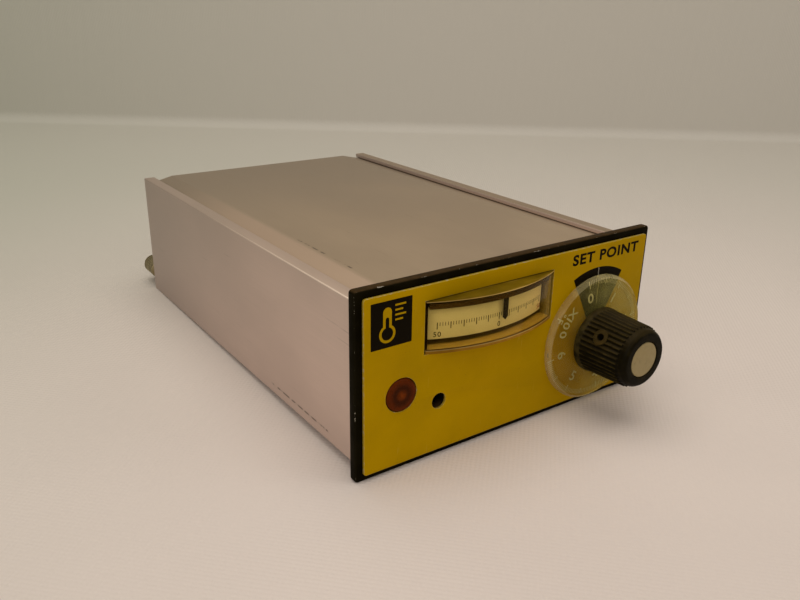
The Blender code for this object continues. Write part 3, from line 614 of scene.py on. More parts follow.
def cap_aluminium():
    """Turned cap of the knob: fine rings, and stains."""
    colour = (0.34, 0.265, 0.115)
    look = Look("cap_aluminium", colour, 0.4, 0.3)
    rings = look.waves(look.radius(DIAL), 0.35)
    look.cover(look.step(rings, -1, 1, 0.0, 0.2), shaded(colour, 0.75))
    look.cover(look.patch(2.2, 5, 0.56, 0.7, 0.0, 0.45), (0.18, 0.15, 0.06))
    look.gloss(1.5, 0.34, 0.52)
    look.relief(rings, 0.003)
    return look.material


def lens_red():
    """Dark red lens: rings, and a painted glow in its warmer middle, where the lamp sits behind it."""
    look = Look("lens_red", (0.17, 0.03, 0.0), 0.28, Specular_IOR_Level=0.05)
    radius = look.radius(LAMP)
    # painted glow: the middle stays bright red, darker around it
    look.cover(look.step(radius, 0.3, 2.8), (0.042, 0.0075, 0.0))
    look.cover(look.step(radius, 3.0, 5.2), (0.1, 0.016, 0.0))
    look.cover(look.patch(2, 4, 0.5, 0.7, 0.0, 0.5), (0.04, 0.008, 0.0))
    look.gloss(1.5, 0.22, 0.38)
    return look.material


def knob_black():
    """Moulded phenolic: patches of brown dust, a painted sheen of the light above on top, and painted
    highlights on the ridges of the flutes.
    """
    look = Look("knob_phenolic", (0.006, 0.0045, 0.001), 0.42, Specular_IOR_Level=0.04)
    look.cover(look.patch(2.5, 5, 0.48, 0.7, 0.0, 0.5), (0.019, 0.014, 0.003))
    ridge = look.step(look.axis(1), KNOB_FRONT + 3.6, KNOB_FRONT + 21.5, 12.48, 13.08)
    # painted highlight on the ridge tops of the flutes
    top = look.step(look.minus(look.radius(DIAL), ridge), 0.0, 0.22)
    look.cover(look.times(top, look.patch(3.5, 4, 0.35, 0.62, 0.15, 0.9)), (0.05, 0.037, 0.01))
    # painted sheen of the light above on the up-facing faces
    look.cover(look.times(look.upward(), 0.45), (0.05, 0.034, 0.01))
    look.gloss(1.5, 0.34, 0.5)
    look.grain(0.4, 3, 0.012)
    return look.material


def paper_white():
    """Aged scale, with a painted glare that makes it paler to the right."""
    look = Look("scale_paper", (0.7, 0.65, 0.46), 0.55)
    look.cover(look.patch(14, 4, 0.35, 0.75), (0.6, 0.56, 0.36))
    # painted glare, paler to the right
    look.cover(look.step(look.axis(0), PIVOT_X - 4, WINDOW_HIGH.x, 0.0, 0.9), (0.95, 0.82, 0.62))
    look.cover(look.patch(0.5, 2, 0.72, 0.8, 0.0, 0.4), (0.3, 0.25, 0.18))
    look.grain(0.3, 2, 0.006)
    return look.material


def circuit_green():
    """Glass epoxy with tinned tracks along and across it."""
    look = Look("circuit_epoxy", (0.02, 0.1, 0.035), 0.35)
    zones = look.patch(16, 1, 0.5, 0.52)
    track = look.times(look.step(look.waves(look.axis(0), 5.08), 0.8, 0.9), zones)
    bridge = look.times(look.step(look.waves(look.axis(1), 7.62), 0.85, 0.95), look.minus(1.0, zones))
    copper = look.calc("MAXIMUM", track, bridge)
    look.cover(look.patch(0.8, 2), (0.045, 0.16, 0.06))
    look.cover(copper, (0.6, 0.58, 0.5))
    look.feed("Metallic", look.times(copper, 0.8))
    look.relief(copper, 0.035)
    return look.material


def wound_wire(name, colour, axis, pitch):
    """Varnished wire: turns side by side, shown as ridges along one axis."""
    look = Look(name, shaded(colour, 0.7), 0.3, 0.6, Coat_Weight=0.4)
    turns = look.waves(look.axis(axis), pitch)
    look.cover(look.patch(3, 3), colour)
    # painted shade in the grooves between turns
    look.cover(look.step(turns, 0.2, -1), (0.08, 0.03, 0.012))
    look.relief(turns, 0.08)
    return look.material


def laminated(name, axis, pitch):
    """Stack of steel sheets, dull and a little rusty at the edges."""
    look = Look(name, (0.09, 0.085, 0.08), 0.5, 0.8)
    sheets = look.waves(look.axis(axis), pitch)
    look.cover(look.step(sheets, -1, 1), (0.22, 0.21, 0.2))
    look.cover(look.patch(4, 5, 0.55, 0.72, 0.0, 0.7), (0.13, 0.055, 0.02))
    look.relief(sheets, 0.05)
    return look.material


BEZEL_BLACK = bezel_enamel()
YELLOW = plate_yellow()
CUT_EDGE = cut_edge()
BLACK_INK = ink("black_ink", (0.006, 0.0035, 0.0005), 0.01)
WHITE_INK = ink("white_ink", (0.7, 0.64, 0.52), 0.12)
DIAL_INK = ink("dial_ink", (0.5, 0.46, 0.36), 0.12)
GREY_INK = ink("scale_ink", (0.05, 0.045, 0.03), 0.1)
RED_INK = ink("red_scale_ink", (0.4, 0.1, 0.06), 0.2)
SCALE_WHITE = paper_white()
KNOB_BLACK = knob_black()
BOSS_BROWN = cast_finish("boss_phenolic", (0.04, 0.027, 0.007), 0.4, Specular_IOR_Level=0.1)
CAP_METAL = cap_aluminium()
LENS_RED = lens_red()
CLEAR = clear_plastic("window_acrylic", (0.86, 0.77, 0.47), 0.03, Specular_IOR_Level=0.06,
                      Specular_Tint=(0.6, 0.45, 0.2, 1))
# Painted light on the window's walls: the plate's reflection in the top, shade at the left side, a far wall
# lightened against its shade, the acrylic's edge-on brown at the lower edge, and a highlight line.
WINDOW_TOP = window_wall("window_top_wall", (0.2, 0.125, 0.004), (0.36, 0.23, 0.03))
WINDOW_SIDE = window_wall("window_side_wall", (0.04, 0.018, 0.001), (0.075, 0.036, 0.002))
WINDOW_END = window_wall("window_far_wall", (0.42, 0.31, 0.06), (0.55, 0.42, 0.12))
WINDOW_EDGE = window_wall("window_lower_edge", (0.4, 0.19, 0.012), (0.5, 0.26, 0.03))
WINDOW_GLINT = window_wall("window_bright_edge", (0.5, 0.32, 0.09), (0.62, 0.42, 0.14))
WINDOW_FLOOR = window_floor()
DISC_FACE = cloudy_disc("disc_acrylic", (0.72, 0.66, 0.24), 0.012, 0.03, 0.18)
DISC_RIM = cloudy_disc("disc_rim_acrylic", (0.8, 0.7, 0.36), 0.05, 0.22, 0.34)
BLACK_PLASTIC = cast_finish("black_moulding", (0.012, 0.009, 0.004), 0.45, Specular_IOR_Level=0.1)
MASK_BROWN = cast_finish("mask_moulding", (0.05, 0.027, 0.004), 0.45, Specular_IOR_Level=0.1)
HOUSING = cast_finish("meter_case_moulding", (0.2, 0.145, 0.02), 0.5, Specular_IOR_Level=0.1)
SIDE_LEFT = side_metal("side_aluminium_left", 3.1, 8.3, 0.4)
SIDE_RIGHT = side_metal("side_aluminium_right", 7.7, 62.0, 1.0)
COVER_TOP = cover_metal("cover_sheet_top", 1.7, -51.7, 0.45)
COVER_BOTTOM = cover_metal("cover_sheet_bottom", 5.3, 40.0)
REAR_METAL = cover_metal("rear_sheet", 9.4, 90.0)
PHENOLIC = cast_finish("brown_phenolic", (0.045, 0.02, 0.01), 0.42, grain=0.9)
NICKEL = cast_finish("nickel_plate", (0.62, 0.58, 0.5), 0.3, 0.95)
ZINC = cast_finish("zinc_plate", (0.5, 0.5, 0.49), 0.38, 0.95)
BRASS = cast_finish("brass", (0.6, 0.42, 0.16), 0.35, 0.95)
KNURLED = cast_finish("turned_aluminium", (0.33, 0.27, 0.15), 0.42, 0.8, Specular_IOR_Level=0.1)
GLASS_BULB = clear_plastic("bulb_glass", (0.95, 0.95, 0.94), 0.01)
CAN_METAL = cast_finish("capacitor_can", (0.6, 0.6, 0.6), 0.35, 0.9)
POT_METAL = cast_finish("pot_case", (0.5, 0.5, 0.5), 0.4, 0.9)
EPOXY = circuit_green()


# ---- front ----
def case_screw_places():
    """Lower left, lower right, upper right, upper left."""
    low, high = middle("front_screw_1"), middle("front_screw_3")
    return rectangle((low.x, low.z), (high.x, high.z))


def front_sheet(low, high, corner, edge, margin, radii, more=(), rounds=2):
    """Sheet of the front, with openings for the window and, by radius, for lamp, trimmer and dial."""
    holes = [rectangle((WINDOW_LOW.x - margin, WINDOW_LOW.z - margin),
                       (WINDOW_HIGH.x + margin, WINDOW_HIGH.z + margin))]
    holes += [hole(place, radius) for place, radius in zip((LAMP, TRIM, DIAL), radii)]
    outline = fillet(rectangle((low.x, low.z), (high.x, high.z)), corner, 5)
    return slab([outline, *holes, *more], low.y, high.y, edge, rounds=rounds)


def make_bezel():
    screws = [circle(place, 3.3, 24) for place in case_screw_places()]
    bezel = front_sheet(BEZEL_LOW, BEZEL_HIGH, 1.5, 0.75, 0.4, (6.65, 3.3, 8.4), screws, 3)
    seat = block((-CASE_SIDE - 0.3, CASE_FRONT - 0.3, CASE_BOTTOM - 0.3),
                 (CASE_SIDE + 0.3, BEZEL_HIGH.y + 1, CASE_TOP + 0.3))
    refine("bezel_frame", boolean(bezel, seat), BEZEL_BLACK)


def make_plate():
    plate = front_sheet(PLATE_LOW, PLATE_HIGH, 1.3, 0.14, 0.3, (6.55, 3.1, 3.5))
    number_faces(plate, lambda place, normal: 0 if abs(normal.y) > 0.99 else 1)
    refine("front_plate", plate, [YELLOW, CUT_EDGE])


def on_plate(x, z, lift=0.0):
    """A printed mark's own place on the yellow plate."""
    return lambda u, v, out: at(x + u, PLATE_LOW.y - lift - out, z + v)


def make_plate_print():
    """Thermometer badge, control's name and the black sector behind the dial."""
    left, right, bottom, top = -66.5, -49.9, 50.2, 67.0
    centre_x, bulb_z, bulb, stem = left + 6.6, bottom + 5.0, 3.3, 1.75
    square = fillet(rectangle((left, bottom), (right, top)), 0.3, 2)
    neck = math.degrees(math.asin(stem / bulb))
    glass = arc((centre_x, bulb_z), bulb, neck, 360 - neck, 24)
    glass += arc((centre_x, top - 2.3 - stem), stem, 270, 450, 12)
    holes = [glass]
    for i in range(4):
        z = bottom + 9.1 + 1.75 * i
        reach = 4.4 if i % 2 else 3.2
        holes.append(rectangle((centre_x + 3.1, z), (centre_x + 3.1 + reach, z + 0.7)))
    front = PLATE_LOW.y
    badge = slab([square] + holes, front - INK, front)
    neck = math.degrees(math.asin(0.7 / 2.3))
    mercury = arc((centre_x, bulb_z), 2.3, neck, 360 - neck, 20)
    mercury += arc((centre_x, top - 6.6), 0.7, 270, 450, 8)
    badge = joined(badge, slab([mercury], front - INK, front))

    name = bmesh.new()
    letters(name, on_plate(45.6, 64.6), "SET POINT", 5.9, bold=0.2, narrow=1.22, spacing=1.12)

    outer, inner, start, end = 29.8, 9.0, -26.4, 29.6
    sector = arc((DIAL.x, DIAL.z), outer, start, end, 32) + arc((DIAL.x, DIAL.z), inner, end, start, 16)
    index = bmesh.new()
    bar(index, on_plate(DIAL.x + 0.6, DIAL.z, INK), (-0.08, 14.5), (0.08, outer - 0.2), 0.02)
    show("plate_badge_print", badge, BLACK_INK, "root", "front_plate")
    show("plate_name_print", name, BLACK_INK, "root", "front_plate")
    show("plate_sector_print", slab([sector], front - INK, front), BLACK_INK, "root", "front_plate")
    show("plate_index_print", index, WHITE_INK, "root", "front_plate")


def make_lamp():
    low, high = corners("lamp_lens")
    face, radius = low.y, (high.x - low.x) / 2
    ridge, rings = 0.22, 4
    profile = [(0, face + 0.1)]
    for i in range(1, 2 * rings + 1):
        reach = (radius - 0.75) * i / (2 * rings)
        profile.append((reach, face + 0.12 + 0.05 * i / rings + (ridge if i % 2 else 0)))
    profile += [(radius - 0.55, face + 0.3), (radius - 0.12, face + 0.55), (radius, face + 1.0),
                (radius, high.y), (radius - 1.15, high.y), (radius - 1.15, face + 2.3), (0, face + 2.3)]
    refine("lamp_lens", turned(profile, LAMP, 96), LENS_RED, 50)


# ---- set-point control ----
FIGURE_START, FIGURE_STEP, FIGURES = -12.3, 45.0, 7      # degrees clockwise from straight up
FIGURE_RADIUS = 18.3
ENGRAVED = 0.5             # how deep the filled marks lie in the disc's back


def on_dial(angle, radius=0.0, inward=True):
    """A mark's own place near the back of the dial disc: v runs in to the axis, or out from it."""
    turn = math.radians(angle)
    flip = -1 if inward else 1
    back = corners("dial_disc")[1].y

    def where(u, v, out):
        along, across = radius + flip * v, flip * u
        x = DIAL.x + along * math.sin(turn) + across * math.cos(turn)
        z = DIAL.z + along * math.cos(turn) - across * math.sin(turn)
        return at(x, back - ENGRAVED + out, z)
    return where


def make_dial():
    low, high = corners("dial_disc")
    radius, slope = (high.x - low.x) / 2, 1.2
    profile = [(3.3, low.y), (radius - slope, low.y), (radius - 0.1, low.y + slope - 0.1),
               (radius, low.y + slope + 0.1), (radius, high.y - 0.15), (radius - 0.15, high.y), (3.3, high.y),
               (3.3, low.y)]
    disc = turned(profile, DIAL, 144)

    def rim(place, normal):
        reach = math.hypot(place.x - DIAL.x, place.z - DIAL.z)
        return 1 if reach > radius - slope - 0.1 and place.y < high.y - 0.2 else 0
    number_faces(disc, rim)
    refine("dial_disc", disc, [DISC_FACE, DISC_RIM])

    print_ = bmesh.new()
    outer = 26.2 - 0.9
    for figure in range(FIGURES):
        angle = FIGURE_START + FIGURE_STEP * figure
        letters(print_, on_dial(angle, FIGURE_RADIUS), str(figure), 6.0, bold=0.08, narrow=1.1)
        bar(print_, on_dial(angle, inward=False), (-0.25, 22.4), (0.25, outer))
        if figure < FIGURES - 1:
            for part in range(1, 20):
                half, start = (0.22, 22.9) if part % 10 == 0 else (0.12, 23.3)
                minor = on_dial(angle + FIGURE_STEP * part / 20, inward=False)
                bar(print_, minor, (-half, start), (half, outer))
    for angle, text in ((-45.6, "X"), (-54.4, "1"), (-62.4, "0"), (-74.2, "0")):
        letters(print_, on_dial(angle, 18.8), text, 5.4, bold=0.07, narrow=1.15)
    for angle, text in ((-53.7, "°"), (-60.6, "F")):
        letters(print_, on_dial(angle, 23.4), text, 4.6, bold=0.06)
    show("dial_print", print_, DIAL_INK, "setpoint", "dial_disc")
    mark = bmesh.new()
    bar(mark, on_dial(-95, inward=False), (-0.9, 24.9), (0.9, 25.3))
    show("dial_factory_mark", mark, BLACK_INK, "setpoint", "dial_disc")


def make_knob():
    low, high = corners("setpoint_knob")
    face, back, flange = low.y, high.y, (high.x - low.x) / 2
    flutes, groove, flute_start, flute_end = 40, 0.68, face + 3.6, back - 2.4
    body, nose, collar, bore = flange - 0.25, 12.75, 12.0, 7.45

    def fluted(radius, angle, height):
        if not flute_start <= height <= flute_end or radius < nose:
            return radius
        depth = groove * min(1.0, (flute_end - height) / 0.7)
        return radius - depth * abs(math.sin(flutes * angle / 2)) ** 1.4

    profile = [(0, face + 1.0), (bore - 0.1, face + 1.0), (bore, face + 0.9), (bore, face + 0.25),
               (bore + 0.25, face)]
    front = [(bore + 1, face), (10.7, face), (collar - 0.2, face + 1.5), (collar, flute_start - 0.3)]
    profile += fillet(front, 1.5, 4, closed=False)
    profile += [(nose, flute_start), (body - 0.03, flute_end - 0.7), (body, flute_end)]
    profile += [(flange - 0.12, back - 2.1), (flange, back - 1.95), (flange, back - 0.25)]
    profile += [(flange - 0.25, back), (3.3, back), (3.3, face + 4.8), (0, face + 4.8)]
    knob = turned(profile, DIAL, flutes * 8, fluted)

    screw = middle("knob_set_screw")
    lean = Vector((screw.x - DIAL.x, 0, screw.z - DIAL.z)).normalized()
    axes = (Vector((0, 1, 0)), lean.cross(Vector((0, 1, 0))), lean)
    centre = (DIAL.x, screw.y, DIAL.z)
    boss = [(0, 9.0), (3.3, 9.0), (3.3, 12.75), (3.15, 12.95), (1.6, 13.0), (0, 13.0)]
    knob = boolean(knob, lathe(boss, centre, axes, 40), "UNION")
    bore = [(0, 8.5), (1.4, 8.5), (1.4, 12.8), (1.75, 13.4), (0, 13.4)]
    knob = boolean(knob, lathe(bore, centre, axes, 32))

    def boss_face(place, normal):
        flat = normal.x * lean.x + normal.z * lean.z > 0.97
        across = Vector((place.x - DIAL.x, 0, place.z - DIAL.z))
        near = math.hypot(place.y - screw.y, across.cross(lean).length)
        return 1 if flat and across.dot(lean) > 12.7 and near < 3.3 else 0
    number_faces(knob, boss_face)
    refine("setpoint_knob", knob, [KNOB_BLACK, BOSS_BROWN], 40)

    low, high = corners("knob_cap")
    radius = (high.x - low.x) / 2
    cap = [(0, low.y + 0.02), (radius - 0.5, low.y), (radius - 0.12, low.y + 0.06), (radius, low.y + 0.2),
           (radius, high.y), (0, high.y)]
    refine("knob_cap", turned(cap, DIAL, 96), CAP_METAL)


# ---- meter ----
def bulge(radius, half_angle, count=32):
    """Points from left to right on an arc about the meter's pivot, bulging to the front."""
    return arc((0, 0), radius, 180 + half_angle, 180 - half_angle, count)


def shelf(radius, half_angle, back):
    """Outline with a bulging front and straight sides that run back to a depth."""
    front = bulge(radius, half_angle)
    return front + [(front[-1][0], back - PIVOT_DEPTH), (front[0][0], back - PIVOT_DEPTH)]


def window_outline(radius, half_width, back):
    return shelf(radius, math.degrees(math.asin(half_width / radius)), back)


def about_pivot(outlines, low, high, edge, rounds=2):
    """Upright slab whose outlines are drawn about the meter's pivot."""
    return slab(outlines, low, high, edge, True, (PIVOT_X, PIVOT_DEPTH), rounds)


def make_screen(node, look, thick, half_angle, ledge_inset, ledge_angle, ledge_low, ledge_high):
    """Thin strip about the pivot, carried by a ledge that runs back from it between two heights."""
    low, high = corners(node)
    radius = PIVOT_DEPTH - low.y
    outline = bulge(radius, half_angle) + bulge(radius - thick, half_angle)[::-1]
    strip = about_pivot([outline], low.z, high.z, 0.12)
    ledge = shelf(radius - ledge_inset, ledge_angle, LEDGE_BACK)
    refine(node, joined(strip, about_pivot([ledge], ledge_low, ledge_high, 0.1)), look)


UNITS, UNIT_ANGLE, SCALE_ZERO = 50, 0.4455, 0.8    # units each side, degrees for one, and for zero
LEDGE_BACK = 12.0


def on_scale(angle, z):
    """A printed mark's own place on the curved scale."""
    def where(u, v, out):
        turn = math.radians(angle) + u / SCALE_RADIUS
        reach = SCALE_RADIUS + out
        return at(PIVOT_X + reach * math.sin(turn), PIVOT_DEPTH - reach * math.cos(turn), z + v)
    return where


def make_window():
    """Moulded acrylic window, its walls painted with the reflections, shade and highlights that the acrylic
    shows.
    """
    radius, wall = PIVOT_DEPTH - WINDOW_LOW.y, 1.2
    half = (WINDOW_HIGH.x - WINDOW_LOW.x) / 2
    outside = fillet_ends(window_outline(radius, half, WINDOW_HIGH.y))
    inside = window_outline(radius - wall, half - wall, WINDOW_HIGH.y + 3)
    glass = boolean(about_pivot([outside], WINDOW_LOW.z, WINDOW_HIGH.z, 0.3),
                    about_pivot([inside], WINDOW_LOW.z + wall, WINDOW_HIGH.z - wall, 0.25, 1))
    ledge = WINDOW_LOW.z + wall - 0.15
    glint = ledge + 0.45
    for height in (ledge, glint):
        everything = glass.verts[:] + glass.edges[:] + glass.faces[:]
        bmesh.ops.bisect_plane(glass, geom=everything, plane_co=at(0, 0, height), plane_no=(0, 0, 1))

    # slots for the painted reflections, shade and highlights of each wall
    def stain(place, normal):
        if abs(normal.x) > 0.9:
            return 3 if place.x > PIVOT_X else 2
        if normal.z > 0.9:
            return 1 if place.z > WINDOW_HIGH.z - 0.1 else 5
        if normal.z > 0.2:
            return 6
        if place.z < ledge:
            return 4
        return 6 if place.z < glint and normal.y < -0.5 else 0

    looks = [CLEAR, WINDOW_TOP, WINDOW_SIDE, WINDOW_END, WINDOW_EDGE, WINDOW_FLOOR, WINDOW_GLINT]
    refine("meter_window", number_faces(glass, stain), looks, 25)


def fillet_ends(outline):
    """Rounds the two upright corners where the bulging front meets the sides."""
    count = len(outline)
    return fillet(outline, [0.5 if i in (0, count - 3) else 0 for i in range(count)], 3)


def make_scale():
    """Curved scale with its print, and the dark mask above it."""
    scale_foot, mask_head = corners("meter_scale")[0].z, corners("meter_mask")[1].z
    make_screen("meter_scale", SCALE_WHITE, 0.9, 24.5, 0.5, 24.0, scale_foot + 0.2, scale_foot + 1.0)
    top, figures_z, size = 53.5, 48.9, 2.7
    marks, red = bmesh.new(), bmesh.new()
    for unit in range(-UNITS, UNITS + 1, 2):
        bottom, half = (50.9, 0.17) if unit % 10 == 0 else (52.1, 0.11)
        bar(marks, on_scale(SCALE_ZERO + unit * UNIT_ANGLE, 0), (-half, bottom), (half, top))
    for unit, print_ in ((-UNITS, marks), (0, marks), (UNITS, red)):
        letters(print_, on_scale(SCALE_ZERO + unit * UNIT_ANGLE, figures_z), str(abs(unit)), size, bold=0.03,
                spacing=1.2)
    show("scale_print", marks, GREY_INK, "root", "meter_scale")
    show("scale_red_print", red, RED_INK, "root", "meter_scale")
    make_screen("meter_mask", MASK_BROWN, 0.6, 24.6, 0.3, 23.6, mask_head - 0.8, mask_head - 0.2)


def make_pointer():
    low, high = corners("meter_pointer")
    reach, half, swing = 66.5, 1.15, math.radians(2.35)
    arm = arc((0, 0), 2.4, 195, 525, 20) + [(0.5, 0.4 - reach), (-0.5, 0.4 - reach)]
    arm = about_pivot([arm[::-1], circle((0, 0), 1.1, 16)], high.z - 0.6, high.z, 0.12)
    blade = fillet([(-half, low.z + half), (0, low.z), (half, low.z + half), (half, high.z - 0.1),
                    (-half, high.z - 0.1)], 0.25, 3)
    blade = slab([blade], PIVOT_DEPTH - reach + 0.02, PIVOT_DEPTH - reach + 0.42, 0.1, origin=(PIVOT_X, 0))
    pointer = joined(arm, blade)
    hub = at(PIVOT_X, PIVOT_DEPTH, 0)
    bmesh.ops.transform(pointer, verts=pointer.verts, matrix=Matrix.Translation(hub)
                        @ Matrix.Rotation(swing, 4, "Z") @ Matrix.Translation(-hub))
    refine("meter_pointer", pointer, BLACK_PLASTIC)


# ---- case ----
FOLD_X, FLAP_X = 53.9, 62.9          # where the covers fold down, and where they lie flat again
LEDGE_DROP = 3.7                      # from the case's top to the ledge that carries the cover
SCREW_HOLE = 1.95


def mirror_z(z):
    return CASE_TOP + CASE_BOTTOM - z


def both_sides(half):
    """Points from left to right, from those of the right half."""
    return [(-x, z) for x, z in half[::-1]] + half


def make_side_panels():
    """Extrusions with a lip, a groove for the covers, and screw channels."""
    wall, lip_reach, lip_depth, ledge = 2.2, 5.5, 1.9, LEDGE_DROP
    channel_reach, channel_drop = 8.6, 13.8
    upper = [(0, 0), (lip_reach, 0), (lip_reach, lip_depth), (wall, lip_depth), (wall, ledge),
             (channel_reach, ledge), (channel_reach, channel_drop), (wall, channel_drop)]
    rounding = [0.6, 0.35, 0.3, 0.3, 0.2, 0.4, 0.4, 0.4]
    rear_low, rear_high = corners("rear_panel")
    rebate = block((rear_low.x - 0.4, rear_low.y - 0.3, CASE_BOTTOM + ledge - 0.1),
                   (rear_high.x + 0.4, CASE_BACK + 1, CASE_TOP - ledge + 0.1))
    for node, side, look in (("side_panel_left", -1, SIDE_LEFT), ("side_panel_right", 1, SIDE_RIGHT)):
        half = [(side * (CASE_SIDE - inward), CASE_TOP - down) for inward, down in upper]
        outline = fillet(half + [(x, mirror_z(z)) for x, z in half[::-1]], rounding + rounding[::-1], 3)
        holes = [circle(place, SCREW_HOLE, 20) for place in case_screw_places() if place[0] * side > 0]
        panel = slab([outline] + holes, CASE_FRONT, CASE_BACK, 0.15, rounds=1)
        refine(node, boolean(panel, rebate.copy()), look)


def make_covers():
    """Folded sheets whose edges slide in the grooves of the side panels."""
    sheet, drop = 1.0, 0.3
    flap_z = CASE_TOP - 2.35
    outer = both_sides([(FOLD_X, CASE_TOP - drop), (FLAP_X, flap_z), (66.3, flap_z)])
    inner = [(x, z - sheet) for x, z in outer[::-1]]
    for node, look in (("top_cover", COVER_TOP), ("bottom_cover", COVER_BOTTOM)):
        outline = fillet(outer + inner, 2 * [0, 1.0, 3.0, 3.0, 1.0, 0], 4)
        if node == "bottom_cover":
            outline = [(x, mirror_z(z)) for x, z in outline[::-1]]
        low, high = corners(node)
        refine(node, slab([outline], low.y, high.y, 0.15, rounds=1), look)


# ---- rear ----
def slotted(profile, centre, depth, width=0.9, angle=0.0, steps=48, shape=None):
    """Turned screw with a slot cut across its end, which is at the last height of its profile."""
    screw = turned(profile, centre, steps, shape)
    reach, end = max(r for r, d in profile) + 1, max(d for r, d in profile)
    slot = block((-reach, end - depth, -width / 2), (reach, end + 1, width / 2))
    shift = Matrix.Translation(at(centre.x, 0, centre.z) - at(0, 0, 0))
    turn = Matrix.Rotation(math.radians(angle), 4, "Y")
    bmesh.ops.transform(slot, verts=slot.verts, matrix=shift @ turn)
    return boolean(screw, slot)


def head_profile(node, head, shank=1.6, start=0.0):
    """Pan head on a shank, from its tip inside the case to the middle of its outer face."""
    low, high = corners(node)
    base = start or high.y - 1.9
    return [(0, low.y), (shank, low.y), (shank, base), (head, base), (head, high.y - 0.75),
            (head - 0.25, high.y - 0.4), (head - 0.8, high.y - 0.12), (0, high.y)]


def plain_screws(kind, angles):
    for number, angle in enumerate(angles, 1):
        node = f"{kind}_{number}"
        refine(node, slotted(head_profile(node, 3.0), middle(node), 1.0, angle=angle), ZINC)


def make_rear_panel():
    low, high = corners("rear_panel")
    ledge = CASE_TOP - LEDGE_DROP
    upper = both_sides([(FOLD_X, CASE_TOP - 1.65), (FLAP_X, ledge), (high.x, ledge)])
    outline = upper + [(x, mirror_z(z)) for x, z in upper[::-1]]
    holes = [circle(place, SCREW_HOLE, 20) for place in case_screw_places()]
    holes += [hole(middle(f"terminal_block_screw_{i}"), SCREW_HOLE, 20) for i in (1, 2)]
    refine("rear_panel", slab([outline] + holes, low.y, high.y, 0.15), REAR_METAL)
    plain_screws("rear_screw", (35, -20))


def make_thumbscrews():
    for number, angle in ((1, 15), (2, 70)):
        node = f"rear_thumbscrew_{number}"
        low, high = corners(node)
        radius = (high.x - low.x) / 2
        neck = CASE_BACK + 0.3
        knurl_start, knurl_end = neck + 3.6, high.y - 1.8

        def knurled(reach, turn, height, start=knurl_start, end=knurl_end):
            if not start <= height <= end or reach < 4:
                return reach
            return reach - 0.3 * (0.5 + 0.5 * math.cos(30 * turn))
        profile = [(0, low.y), (1.6, low.y), (1.6, neck), (3.1, neck), (3.1, neck + 2.1)]
        profile += [(radius - 0.5, neck + 2.9), (radius, neck + 3.3)]
        rings = [knurl_start - 0.01, knurl_start, (knurl_start + knurl_end) / 2, knurl_end, knurl_end + 0.01]
        profile += [(radius, depth) for depth in rings + [high.y - 1.3]]
        profile += [(radius - 0.4, high.y - 0.7), (radius - 1.1, high.y), (0, high.y)]
        screw = slotted(profile, middle(node), 1.6, 1.1, angle, 240, knurled)
        refine(node, screw, KNURLED, 40)


def make_terminals():
    low, high = corners("terminal_block")
    screws = [middle(f"terminal_screw_{i}") for i in range(1, 9)]
    pitch, barrier = screws[1].x - screws[0].x, 1.6
    base = low.y + 7.0
    comb = [(low.x, low.y), (low.x, base)]
    for i in range(len(screws) + 1):
        x = screws[0].x + (i - 0.5) * pitch
        comb += [(x - barrier / 2, base), (x - barrier / 2, high.y), (x + barrier / 2, high.y),
                 (x + barrier / 2, base)]
    comb += [(high.x, base), (high.x, low.y)]
    rounding = [0.3, 0.8] + [0.25, 0.5, 0.5, 0.25] * (len(screws) + 1) + [0.8, 0.3]
    moulding = slab([fillet(comb, rounding, 3)[::-1]], low.z, high.z, 0.35, upright=True)
    bores = [(middle(f"terminal_block_screw_{i}"), low.y - 1) for i in (1, 2)]
    bores += [(screw, low.y + 1.2) for screw in screws]
    for place, start in bores:
        bore = [(0, start), (SCREW_HOLE, start), (SCREW_HOLE, base + 1), (0, base + 1)]
        moulding = boolean(moulding, turned(bore, place, 24))
    refine("terminal_block", moulding, PHENOLIC)

    plates, figures = bmesh.new(), bmesh.new()
    half = (pitch - barrier) / 2 - 0.3
    outlines = [fillet(rectangle((-half, -9.0), (half, 4.4)), 0.5, 3), circle((0, 0), 1.9, 24)]
    for number, screw in enumerate(screws, 1):
        plate = slab(outlines, base + 0.02, base + 0.27, 0.06, origin=(screw.x, screw.z), rounds=1)
        plates.from_mesh(new_mesh(plate))

        def below(u, v, out, x=screw.x):
            return at(x - u, CASE_BACK + out, low.z - 4.0 + v)
        letters(figures, below, str(number), 4.6, bold=0.04)
        node = f"terminal_screw_{number}"
        profile = head_profile(node, 3.15, start=base + 0.33)
        refine(node, slotted(profile, screw, 1.1, 0.9, 17 * number * number), NICKEL)
    show("terminal_plates", plates, NICKEL, "root", "terminal_screws")
    show("terminal_figures", figures, BLACK_INK, "root", "rear_panel")
    plain_screws("terminal_block_screw", (-15, 50))


